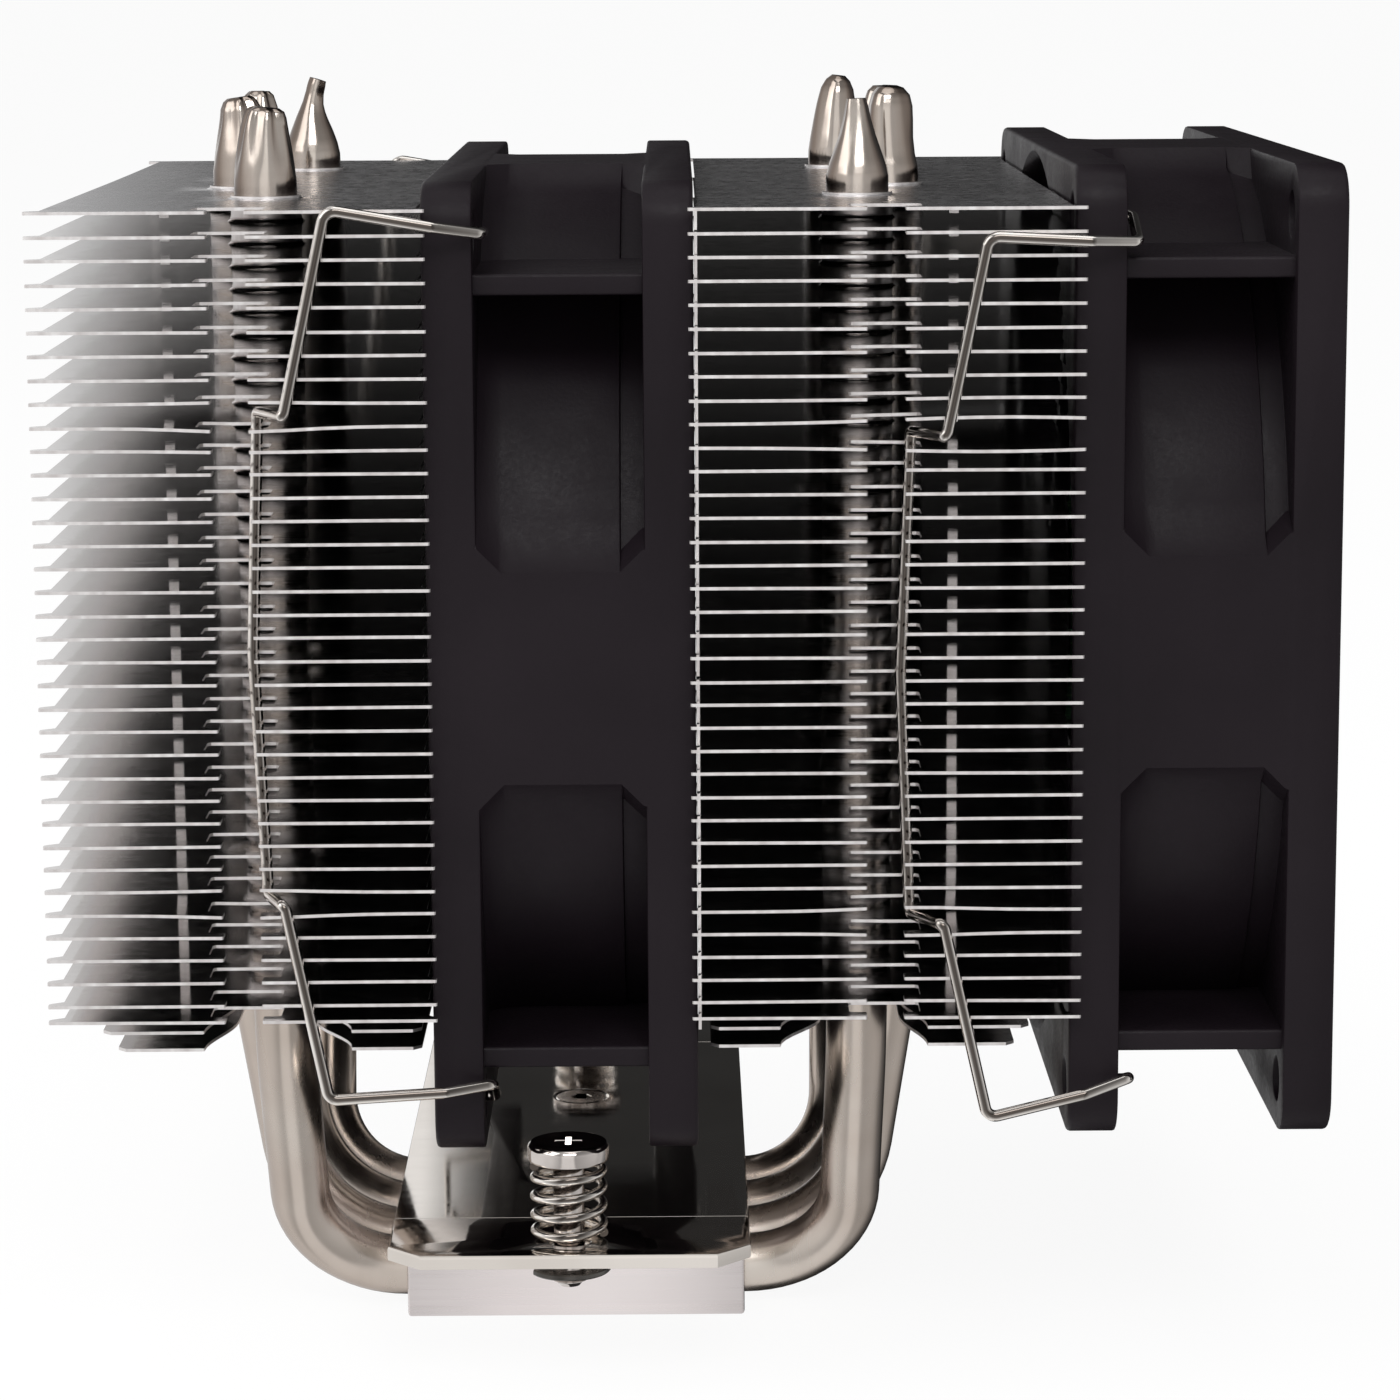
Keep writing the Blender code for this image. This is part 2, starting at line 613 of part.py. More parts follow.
def frame_mesh():
    """Fan frame about its own centre: two flanges, a barrel between them, two
    level ribs, and a motor mount on four struts at the -X side."""
    half, face = FAN / 2, FAN_T / 2
    reach = face - FLANGE_T + OVERLAP    # barrel and ribs span +/- this in x
    outline = rounded_rect(half, half, CORNER_R, 2)
    holes = [circle(a * HOLE_AT, b * HOLE_AT, HOLE_R, 8) for a in (-1, 1) for b in (-1, 1)]
    frame = prism(outline, holes, -face, -face + FLANGE_T, axis="X")
    additions = [prism(outline, holes, face - FLANGE_T, face, axis="X"),
                 prism(barrel_outline(7), [], -reach, reach, axis="X")]
    additions += [prism(rectangle(0, side * RIB_AT, half - RIB_INSET, RIB_T / 2), [],
                        -reach, reach, axis="X") for side in (-1, 1)]
    for part in additions:
        frame = boolean(frame, part, "UNION")
    bore = [(0, -face - 1), (BORE_R, -face - 1), (BORE_R, face + 1), (0, face + 1)]
    frame = boolean(frame, lathe(bore, 36, axis="X"), "DIFFERENCE")
    return boolean(frame, motor_mount_mesh(), "UNION")


# ------------------------------------------------------------------ impeller
# cup-shaped hub, open towards -X: radius, x from the fan's centre
HUB_PROFILE = ((0, 11.7), (HUB_R - 0.8, 11.7), (HUB_R, 10.9), (HUB_R, -9.3), (17.3, -9.3),
               (17.3, 10.2), (3.4, 10.2), (3.4, 6.0), (1.8, 6.0), (1.8, 9.9), (0, 9.9))
BLADES, BLADE_T = 9, 1.5
SPAN_STEPS, CHORD_STEPS = 2, 3
# pairs are values at the blade's root and tip
BLADE_R = (HUB_R - 0.7, 43.2)
BLADE_CHORD = (36.0, 30.0)               # degrees round the axis
BLADE_EDGE_X = (9.8, 8.8)                # edge on the +X side
BLADE_FAR_EDGE_X = (-8.4, -6.8)          # edge on the -X side
BLADE_TIP_LEAN = -12.0                   # degrees, growing as the span squared
BLADE_BOW = 0.9
SKIN_TURN, SKIN_X = 0.8, 0.6             # parts of the thickness offset round and along the axis


def between(ends, t):
    return ends[0] + (ends[1] - ends[0]) * t


def blade_mesh(index):
    bm = bmesh.new()
    grid = {}                            # (span step, chord step, skin) -> vertex
    for i in range(SPAN_STEPS + 1):
        span = i / SPAN_STEPS
        radius = between(BLADE_R, span)
        chord = math.radians(between(BLADE_CHORD, span))
        lean = math.radians(BLADE_TIP_LEAN) * span * span
        edges = (between(BLADE_EDGE_X, span), between(BLADE_FAR_EDGE_X, span))
        for j in range(CHORD_STEPS + 1):
            along = j / CHORD_STEPS
            bow = BLADE_BOW * math.sin(math.pi * along)
            x = between(edges, along)
            angle = 2 * math.pi * index / BLADES + lean + chord * (along - 0.5) + bow / radius
            for skin, offset in ((0, -BLADE_T / 2), (1, BLADE_T / 2)):
                a = angle + offset / radius * SKIN_TURN
                grid[i, j, skin] = bm.verts.new(
                    (x + offset * SKIN_X, radius * math.cos(a), radius * math.sin(a)))

    def quad(*keys):
        bm.faces.new([grid[key] for key in keys])

    for i in range(SPAN_STEPS):
        for j in range(CHORD_STEPS):
            quad((i, j, 1), (i, j + 1, 1), (i + 1, j + 1, 1), (i + 1, j, 1))
            quad((i, j, 0), (i + 1, j, 0), (i + 1, j + 1, 0), (i, j + 1, 0))
    for j in range(CHORD_STEPS):
        for i in (0, SPAN_STEPS):
            quad((i, j, 0), (i, j + 1, 0), (i, j + 1, 1), (i, j, 1))
    for i in range(SPAN_STEPS):
        for j in (0, CHORD_STEPS):
            quad((i, j, 0), (i + 1, j, 0), (i + 1, j, 1), (i, j, 1))
    bmesh.ops.recalc_face_normals(bm, faces=bm.faces)
    return bm


def impeller_mesh():
    """Hub with swept blades, about the fan's centre."""
    impeller = lathe(HUB_PROFILE, 18, axis="X")
    for index in range(BLADES):
        impeller = boolean(impeller, blade_mesh(index), "UNION")
    return impeller


# -------------------------------------------------------------------- stator
# one pole of the stator core: distance out from the axis, offset across
POLE = ((6.8, -1.6), (11.6, -1.6), (11.0, -6.0), (11.75, -6.25), (12.95, -3.3), (13.35, 0.0),
        (12.95, 3.3), (11.75, 6.25), (11.0, 6.0), (11.6, 1.6), (6.8, 1.6))
POLES = 4
CORE_BORE_R = 4.7
CORE_X = (-5.1, 2.1)
COIL_X = -1.5                            # coil centre along the fan's axis
COIL_HALF = (5.2, 3.6)                   # outer half sizes: along the axis, across
COIL_HOLE_HALF = (3.9, 1.95)
COIL_RADII = (7.6, 11.2)
WINDING_RING = tube(7.7, 9.2, -7.0, -6.2)


def stator_core_mesh():
    outline = [rotated(u, v, math.pi / 2 * k) for k in range(POLES) for u, v in POLE]
    return prism(outline, [circle(0, 0, CORE_BORE_R, 12)], *CORE_X, axis="X")


def winding_mesh():
    """A coil round each pole, joined by a ring on the -X side."""
    winding = lathe(WINDING_RING, 12, axis="X")
    for k in range(POLES):
        coil = prism(rectangle(COIL_X, 0, *COIL_HALF), [rectangle(COIL_X, 0, *COIL_HOLE_HALF)],
                     *COIL_RADII)
        # the coil's own axis is Z: turn it to point out along the pole
        for vert in coil.verts:
            x, across, out = vert.co
            vert.co = (x, *rotated(out, across, math.pi / 2 * k))
        bmesh.ops.recalc_face_normals(coil, faces=coil.faces)
        winding = boolean(winding, coil, "UNION")
    return winding


# ---------------------------------------------------------------------- fans
# turned parts: name, material, segments, profile of (radius, x from the fan's centre)
ROTOR_PARTS = (
    ("rotor_yoke", "core", 18, tube(16.0, 17.0, -8.5, 6.0)),
    ("magnet_ring", "magnet", 18, tube(14.2, 15.7, -8.0, 5.0)),
    ("shaft", "steel", 10,
     [(0, -10.0), (1.2, -10.0), (1.5, -9.6), (1.5, 9.3), (1.2, 9.6), (0, 9.6)]),
    ("lock_ring", "steel", 10, tube(1.8, 2.9, -10.0, -9.5)),
)
FIXED_PARTS = (
    ("bearing", "bronze", 10, tube(1.8, 3.1, -9.2, 3.5)),
    ("circuit_board", "board", 20, tube(4.9, 13.6, -9.7, -8.7)),
)


def make_fan(mats, tag, shared):
    """One fan; shared holds the meshes both fans copy. The turning parts
    hang from an empty on the fan's axis."""
    x, z = FANS[tag]
    centre = (x, 0, z)

    def add(part, bm, mat, smooth=False):
        bmesh.ops.translate(bm, vec=centre, verts=bm.verts)
        return finish(f"{tag}_fan_{part}", bm, mats[mat], smooth, centre)

    def add_turned(part, mat, segments, profile):
        return add(part, lathe(profile, segments, axis="X"), mat, smooth=True)

    add("frame", shared["frame"].copy(), "plastic")
    add("stator_core", stator_core_mesh(), "core")
    add("stator_winding", shared["winding"].copy(), "copper")
    for part in FIXED_PARTS:
        add_turned(*part)

    rotor_axis = bpy.data.objects.new(tag + "_rotor_axis", None)
    rotor_axis.location = Vector(centre) * MM
    bpy.context.scene.collection.objects.link(rotor_axis)
    rotor = [add("impeller", shared["impeller"].copy(), "rotor", smooth=True)]
    rotor += [add_turned(*part) for part in ROTOR_PARTS]
    for ob in rotor:
        ob.parent = rotor_axis
        ob.location = (0, 0, 0)


def make_fans(mats):
    shared = {"frame": frame_mesh(), "impeller": impeller_mesh(), "winding": winding_mesh()}
    for tag in FANS:
        make_fan(mats, tag, shared)
    for bm in shared.values():
        bm.free()


# --------------------------------------------------------------------- clips
def gap_level(k):
    """Middle of a gap between full fins, counted from the top."""
    full, _ = fin_levels()
    return (full[k] - FIN_T + full[k + 1]) / 2


def clip_path(tag, side):
    """Wire from the upper fan hole, round the flange, into the fin slot and
    back to the lower hole, with the middle of the upright line its hooks share."""
    fan_x, fan_z = FANS[tag]
    clip = CLIPS[tag]
    face_x = fan_x - FAN_T / 2           # -X face of the frame
    hook_x = face_x + FLANGE_T + WIRE_STANDOFF + 0.05
    edge_x = face_x + 1.2
    flange_y = FAN / 2 + WIRE_STANDOFF + 0.05
    fin_y = FIN_Y + WIRE_STANDOFF + 0.15
    slot_y = FIN_Y - SLOT_DEPTH + WIRE_STANDOFF + 0.8

    def upper_half(bend, flange_z, entry, hole_z, up):
        """Points from the hook to the slot; up is +1 above the slot, -1 below."""
        entry_x, gap = entry
        gap_z = gap_level(gap)
        # the wire is straight in x and z from the flange to the bend
        edge_z = flange_z + (bend[1] - flange_z) * (edge_x - hook_x) / (bend[0] - hook_x)
        return [
            (hook_x - HOOK_LENGTH, HOLE_AT, hole_z),
            (hook_x, HOLE_AT, hole_z),
            (hook_x, flange_y, flange_z),
            (edge_x, fin_y, edge_z),
            (bend[0], fin_y, bend[1]),
            (entry_x, fin_y, gap_z + up * 0.4),
            (entry_x - 0.3, fin_y, gap_z),
            (clip["slot"], slot_y, gap_z),
        ]

    flange_top, flange_bottom = clip["flange"]
    upper = upper_half(clip["top"], flange_top, clip["enter"], fan_z + HOLE_AT, 1)
    lower = upper_half(clip["bottom"], flange_bottom, clip["leave"], fan_z - HOLE_AT, -1)
    points = [(x, side * y, z) for x, y, z in upper + lower[::-1]]
    return points, (hook_x, side * HOLE_AT, fan_z)


def make_clip(mats, tag, where):
    """Wire clip; its origin is on the line through both hooks, so it swings there."""
    points, origin = clip_path(tag, SIDES[where])
    path = fillet(points, CLIP_BENDS, 1.4)
    wire = sweep(path, [WIRE_R] * len(path), 5)
    finish(f"{tag}_clip_{where}", wire, mats["steel"], smooth=True, origin=origin)


def main():
    clear_scene()
    mats = make_materials()
    make_base_block(mats)
    make_base_cover(mats)
    make_mounting_plate(mats)
    for where in SIDES:
        make_plate_screw(mats, where)
        make_spring_screw(mats, where)
        make_screw_spring(mats, where)
        make_retaining_clip(mats, where)
    for name, pipe in PIPES.items():
        make_pipe(mats, name, pipe)
    make_fin_stack(mats, "left_fin_stack", -1)
    make_fin_stack(mats, "right_fin_stack", 1)
    make_fans(mats)
    for tag in FANS:
        for where in SIDES:
            make_clip(mats, tag, where)


main()
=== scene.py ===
"""A cooler with two fin towers, in its studio.

The cold plate lies on the floor (z = 0) at the origin. Four U-shaped heat pipes run through it
along X and rise into the left (-X) and right (+X) towers. One fan stands between the towers,
one outside the right tower; both turn about X. The front is -Y.
Sizes are in millimetres; piece() scales every finished mesh to metres.
"""
import math

import bmesh
import bpy
from mathutils import Matrix, Vector, geometry, noise


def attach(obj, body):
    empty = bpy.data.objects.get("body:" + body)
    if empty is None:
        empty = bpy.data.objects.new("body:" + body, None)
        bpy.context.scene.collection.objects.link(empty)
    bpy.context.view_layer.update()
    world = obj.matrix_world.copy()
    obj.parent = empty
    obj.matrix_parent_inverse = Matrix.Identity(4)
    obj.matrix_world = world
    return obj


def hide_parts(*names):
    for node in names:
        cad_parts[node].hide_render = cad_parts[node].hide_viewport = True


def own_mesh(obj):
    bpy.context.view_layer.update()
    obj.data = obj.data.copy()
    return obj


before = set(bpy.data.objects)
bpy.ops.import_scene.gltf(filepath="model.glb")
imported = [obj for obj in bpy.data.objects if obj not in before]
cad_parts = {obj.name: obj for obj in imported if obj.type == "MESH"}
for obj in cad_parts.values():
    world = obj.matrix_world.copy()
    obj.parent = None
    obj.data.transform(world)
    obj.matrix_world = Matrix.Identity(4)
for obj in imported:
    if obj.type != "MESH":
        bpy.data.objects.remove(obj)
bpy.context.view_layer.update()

MM = 0.001
PI = math.pi

# Base: grooved block, cover over the pipes, mounting plate on top
BLOCK_X, BLOCK_Y, BLOCK_Z = 34.4, 38.0, 7.0
COVER_Z0, COVER_Z1 = 7.3, 13.1
PLATE_Z0, PLATE_Z1 = 13.4, 14.9
PLATE_X, PLATE_Y, PLATE_CHAMFER = 34.9, 92.4, 3.2
SCRIBE_Y = 34.0                     # fine line across each end of the plate
SCREW_Y, PLATE_SCREW_Y = 41.5, 11.0  # spring screws, countersunk screws
THREAD_PITCH = 0.5

# Spring screws
TIP_Z = 10.5
HEAD_R, HEAD_Z0, HEAD_Z1 = 3.95, 23.0, 24.8
SPRING_R, SPRING_WIRE, SPRING_TURNS = 3.3, 0.45, 4.5
CLOSED_TURN, CLOSED_RISE = 0.16, 0.07  # shares of the coil's length and height at each end

# Heat pipes: leg x, leg y, base y, x of the base corner, radius of the bend there
PIPE_R, PIPE_Z, PIPE_TOP, LEG_Z = 3.0, 4.0, 115.2, 31.0
GROOVE_R = PIPE_R + 0.12
UPPER_BEND = 24.0
PIPES = {
    "heat_pipe_1": (28.3, -27.0, -14.25, 27.8, 10.5),
    "heat_pipe_2": (32.2, -9.0, -4.75, 28.3, 13.0),
    "heat_pipe_3": (32.2, 9.0, 4.75, 28.3, 13.0),
    "heat_pipe_4": (28.3, 27.0, 14.25, 27.8, 10.5),
}

# Fins, for the right tower; the left one is mirrored in x
FIN_T = 0.4                         # thickness the gaps are reckoned with
SHEET = 0.3                         # thickness of the sheet as built
FIN_TOP, FIN_PITCH, FIN_FULL, FIN_LAST_GAP = 114.2, 2.18, 36, 1.6
FIN_IN, FIN_OUT, FIN_Y = 12.9, 47.2, 47.9
TAB_IN, TAB_OUT = 12.0, 48.5
SLOT_IN, SLOT_OUT, SLOT_DEPTH = 28.4, 31.9, 5.7  # T-shaped slot: mouth in x, depth in y
SLOT_LIP, SLOT_ARM = 1.7, 1.6       # depth of the mouth, reach of each arm of the T
LOW_PITCH, LOW_Y = 1.7, 44.9
LOW_FINS = ((13.7, 43.9), (13.7, 42.5))          # x range of each short fin
MOUTH_IN, MOUTH_OUT = 20.3, 34.3    # cut-away of the short fins at their edge
NECK_IN, NECK_OUT = 24.5, 32.1      # its parallel part
NECK_Y, CUT_Y, CUT_R = 34.0, 21.0, 3.0  # where that part starts, where it ends, its corners
COLLAR_SEGMENTS = 24

FIN_LEVELS = [FIN_TOP - FIN_PITCH * i for i in range(FIN_FULL - 1)]
FIN_LEVELS.append(FIN_LEVELS[-1] - FIN_LAST_GAP)
LOW_LEVELS = [FIN_LEVELS[-1] - LOW_PITCH * (i + 1) for i in range(len(LOW_FINS))]

# Fans, turning about X
FAN, FAN_T, FLANGE = 92.0, 25.0, 4.7
CORNER_R, BORE_R = 4.0, 44.2
HOLE, HOLE_R = 41.25, 2.15
RIB_AT, RIB_T, RIB_INSET = 36.6, 2.0, 1.32
HUB_R, BLADES, BLADE_R = 18.5, 9, 43.2
FANS = {"middle": (0.0, 70.5), "side": (60.1, 71.7)}  # centre x, z

# Wire clips. top, bottom: x, z of the corners; enter, leave: x and the fin gap counted from
# the top; slot: x in the fins' slot; flange: z of the upper and lower corner at the fan
WIRE_R = 0.55
CLIPS = {
    "middle": dict(top=(-20.9, 114.3), enter=(-25.0, 8), slot=-28.4, leave=(-25.9, 29),
                   bottom=(-22.2, 31.0), flange=(111.9, 31.9)),
    "side": dict(top=(39.4, 111.5), enter=(35.7, 9), slot=32.1, leave=(35.6, 30),
                 bottom=(39.7, 28.8), flange=(110.8, 32.1)),
}
# bend radius at each inner corner of a clip's path
CLIP_BENDS = [0.9, 0.9, 1.0, 1.2, 1.0, 0.3, 0.5, 8.0, 0.7, 0.5, 0.3, 1.0, 1.2, 1.0, 0.9]


# ---------------------------------------------------------------- outlines
def steps(start, end, step):
    """Values from start up to, but not including, end."""
    while start < end:
        yield start
        start += step


def inside(point, polygon):
    """Whether a point lies inside a closed polygon."""
    x, y = point
    hit = False
    for (x0, y0), (x1, y1) in zip(polygon, polygon[1:] + polygon[:1]):
        if (y0 > y) != (y1 > y) and x < x0 + (y - y0) * (x1 - x0) / (y1 - y0):
            hit = not hit
    return hit


def fill(outer, holes, extra=()):
    """Triangles over an outline less its holes; extra points lie inside it."""
    points, edges = [], []
    for loop in (outer, *holes):
        start, count = len(points), len(loop)
        points += loop
        edges += [(start + i, start + (i + 1) % count) for i in range(count)]
    points += extra
    result = geometry.delaunay_2d_cdt([Vector(p) for p in points], edges, [], 1, 1e-7)
    verts, faces, sources = result[0], result[2], result[3]
    triangles = []
    for face in faces:
        centre = [sum(verts[i][k] for i in face) / len(face) for k in (0, 1)]
        if inside(centre, outer) and not any(inside(centre, hole) for hole in holes):
            triangles.append([sources[i][0] for i in face])
    return triangles


def circle(x, y, radius, count):
    angles = [2 * PI * i / count for i in range(count)]
    return [(x + radius * math.cos(a), y + radius * math.sin(a)) for a in angles]


def rounded_rect(half_x, half_y, radius, count, centre_y=0.0):
    outline = []
    for sx, sy, start in ((1, 1, 0), (-1, 1, 90), (-1, -1, 180), (1, -1, 270)):
        for i in range(count + 1):
            angle = math.radians(start + 90 * i / count)
            outline.append((sx * (half_x - radius) + radius * math.cos(angle),
                            centre_y + sy * (half_y - radius) + radius * math.sin(angle)))
    return outline


def soft_ends(low, high, low_edge, high_edge):
    """(height, inset) levels that soften both ends of a loft. An edge is given by its size
    and by the inset of its middle point."""
    (size0, middle0), (size1, middle1) = low_edge, high_edge
    return [(low, size0), (low + middle0, middle0), (low + size0, 0.0),
            (high - size1, 0.0), (high - middle1, middle1), (high, size1)]


# ------------------------------------------------------------------ meshes
def on_axis(point, height, axis):
    return (height, *point) if axis == "X" else (*point, height)


def band(mesh, ring_a, ring_b):
    """Quads between two closed rings with equal point counts."""
    count = len(ring_a)
    for i in range(count):
        j = (i + 1) % count
        mesh.faces.new([ring_a[i], ring_a[j], ring_b[j], ring_b[i]])


def skin(mesh, rings):
    """Bands through the rings, closed at both ends."""
    for ring_a, ring_b in zip(rings, rings[1:]):
        band(mesh, ring_a, ring_b)
    mesh.faces.new(rings[0][::-1])
    mesh.faces.new(rings[-1])


def loft(levels, axis="Z"):
    """A solid through outlines with equal point counts. A level is
    (height, outer loop, any hole loops)."""
    mesh = bmesh.new()
    rows = [[[mesh.verts.new(on_axis(point, height, axis)) for point in loop] for loop in loops]
            for height, *loops in levels]
    for row_a, row_b in zip(rows, rows[1:]):
        for ring_a, ring_b in zip(row_a, row_b):
            band(mesh, ring_a, ring_b)
    for end in (0, -1):
        _, outer, *holes = levels[end]
        verts = [vert for ring in rows[end] for vert in ring]
        for triangle in fill(outer, holes):
            mesh.faces.new([verts[i] for i in triangle])
    return mesh


def box(low, high):
    outline = [(low[0], low[1]), (high[0], low[1]), (high[0], high[1]), (low[0], high[1])]
    return loft([(low[2], outline), (high[2], outline)])


def lathe(profile, count, axis="Z", centre_y=0.0):
    """Turns a profile of (radius, height) that starts and ends on the axis."""
    mesh = bmesh.new()
    rings = []
    for radius, height in profile:
        ring = []
        for i in range(count if radius > 0 else 1):
            angle = 2 * PI * i / count
            point = (radius * math.cos(angle), radius * math.sin(angle))
            x, y, z = on_axis(point, height, axis)
            ring.append(mesh.verts.new((x, y + centre_y, z)))
        rings.append(ring)
    for ring_a, ring_b in zip(rings, rings[1:]):
        for i in range(count):
            j = (i + 1) % count
            corners = (ring_a[i % len(ring_a)], ring_a[j % len(ring_a)],
                       ring_b[j % len(ring_b)], ring_b[i % len(ring_b)])
            # at the axis two corners are the same point
            mesh.faces.new(list(dict.fromkeys(corners)))
    bmesh.ops.recalc_face_normals(mesh, faces=mesh.faces)
    return mesh


def boolean(mesh, tool, operation):
    """Joins or cuts two solids; both are used up."""
    objects = []
    for part in (mesh, tool):
        bmesh.ops.recalc_face_normals(part, faces=part.faces)
        data = bpy.data.meshes.new("tmp")
        part.to_mesh(data)
        part.free()
        obj = bpy.data.objects.new("tmp", data)
        bpy.context.scene.collection.objects.link(obj)
        objects.append(obj)
    modifier = objects[0].modifiers.new("cut", "BOOLEAN")
    modifier.operation = operation
    modifier.solver = "EXACT"
    modifier.object = objects[1]
    bpy.context.view_layer.update()
    evaluated = objects[0].evaluated_get(bpy.context.evaluated_depsgraph_get())
    result = bmesh.new()
    result.from_mesh(evaluated.to_mesh())
    evaluated.to_mesh_clear()
    for obj in objects:
        data = obj.data
        bpy.data.objects.remove(obj, do_unlink=True)
        bpy.data.meshes.remove(data)
    bmesh.ops.remove_doubles(result, verts=result.verts, dist=1e-4)
    bmesh.ops.dissolve_degenerate(result, edges=result.edges, dist=1e-4)
    return result


def merge(mesh, part):
    """Adds the faces of a part to a mesh; the part is used up."""
    data = bpy.data.meshes.new("tmp")
    bmesh.ops.recalc_face_normals(part, faces=part.faces)
    part.to_mesh(data)
    part.free()
    mesh.from_mesh(data)
    bpy.data.meshes.remove(data)


def fillet(points, radii, segments):
    """A path with an arc at each inner corner; segments is the count for a right angle."""
    points = [Vector(p) for p in points]
    path = [points[0]]
    for before, corner, after, radius in zip(points, points[1:], points[2:], radii):
        back = (before - corner).normalized()
        ahead = (after - corner).normalized()
        turn = PI - back.angle(ahead)
        start = corner + back * (radius * math.tan(turn / 2))
        centre = corner + (back + ahead).normalized() * (radius / math.cos(turn / 2))
        spoke = (start - centre).normalized()
        tangent = (-back - spoke * (-back).dot(spoke)).normalized()
        count = max(2, int(math.ceil(segments * turn / (PI / 2))))
        for k in range(count + 1):
            angle = turn * k / count
            path.append(centre + (spoke * math.cos(angle) + tangent * math.sin(angle)) * radius)
    path.append(points[-1])
    return path


def sweep(points, radii, count, shape=None, first_side=None):
    """A closed bar along a path. radii is one radius or one for each point;
    shape(i, angle) scales the radius."""
    points = [Vector(p) for p in points]
    if not isinstance(radii, list):
        radii = [radii] * len(points)
    directions = []
    for i, point in enumerate(points):
        direction = Vector((0, 0, 0))
        if i > 0:
            direction += (point - points[i - 1]).normalized()
        if i < len(points) - 1:
            direction += (points[i + 1] - point).normalized()
        directions.append(direction.normalized())
    mesh = bmesh.new()
    side = first_side or directions[0].orthogonal().normalized()
    rings = []
    for i, (point, direction) in enumerate(zip(points, directions)):
        side = (side - direction * side.dot(direction)).normalized()
        up = direction.cross(side)
        ring = []
        for k in range(count):
            angle = 2 * PI * k / count
            scale = shape(i, angle) if shape else 1.0
            spoke = side * math.cos(angle) + up * math.sin(angle)
            ring.append(mesh.verts.new(point + spoke * radii[i] * scale))
        rings.append(ring)
    skin(mesh, rings)
    return mesh


MATERIALS = {}


def piece(name, mesh, material, node, sharp, body="root"):
    """A finished piece in metres, riding on its body and standing for a CAD node. Edges
    sharper than `sharp` degrees stay hard; the material goes in the mesh's one slot."""
    bmesh.ops.recalc_face_normals(mesh, faces=mesh.faces)
    bmesh.ops.scale(mesh, vec=(MM, MM, MM), verts=mesh.verts)
    data = bpy.data.meshes.new(name)
    mesh.to_mesh(data)
    mesh.free()
    obj = bpy.data.objects.new(name, data)
    bpy.context.scene.collection.objects.link(obj)
    data.materials.append(MATERIALS[material])
    data.shade_smooth()
    data.set_sharp_from_angle(angle=math.radians(sharp))
    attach(obj, body)
    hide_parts(node)
    return obj


# --------------------------------------------------------------- materials
class Nodes:
    """Short calls that add shader nodes to one tree."""

    def __init__(self, tree):
        self.tree = tree

    def feed(self, value, socket):
        """Links an output to a socket, or sets a plain value or colour."""
        if isinstance(value, bpy.types.NodeSocket):
            self.tree.links.new(value, socket)
        else:
            socket.default_value = (*value, 1) if socket.type == "RGBA" else value

    def node(self, kind, inputs=None, **settings):
        node = self.tree.nodes.new("ShaderNode" + kind)
        for key, value in settings.items():
            setattr(node, key, value)
        for key, value in (inputs or {}).items():
            self.feed(value, node.inputs[key])
        return node

    def ramp(self, factor, stops):
        """stops are (position, colour)."""
        node = self.node("ValToRGB", {"Fac": factor})
        elements = node.color_ramp.elements
        for end in (0, -1):
            elements[end].position = stops[end][0]
            elements[end].color = (*stops[end][1], 1)
        for position, colour in stops[1:-1]:
            elements.new(position).color = (*colour, 1)
        return node.outputs["Color"]

    def grey_ramp(self, factor, stops):
        """stops are (position, brightness)."""
        return self.ramp(factor, [(position, (grey, grey, grey)) for position, grey in stops])

    def span(self, value, to=(0.0, 1.0), source=(0.3, 0.7)):
        """Maps the source range onto another, clamped."""
        limits = {"From Min": source[0], "From Max": source[1], "To Min": to[0], "To Max": to[1]}
        return self.node("MapRange", {"Value": value, **limits}).outputs["Result"]

    def math(self, operation, *values):
        return self.node("Math", dict(enumerate(values)), operation=operation).outputs[0]

    def add(self, first, second):
        return self.math("ADD", first, second)

    def times(self, first, second):
        return self.math("MULTIPLY", first, second)

    def above(self, value, limit):
        return self.math("GREATER_THAN", value, limit)

    def mix(self, factor, first, second, mode="MIX"):
        node = self.node("Mix", {"Factor": factor}, data_type="RGBA", blend_type=mode)
        ends = [socket for socket in node.inputs if socket.type == "RGBA"]
        self.feed(first, ends[0])
        self.feed(second, ends[1])
        return next(socket for socket in node.outputs if socket.type == "RGBA")

    def separate(self, vector):
        return self.node("SeparateXYZ", {0: vector}).outputs

    def mix_shader(self, factor, first, second):
        return self.node("MixShader", {0: factor, 1: first, 2: second}).outputs[0]


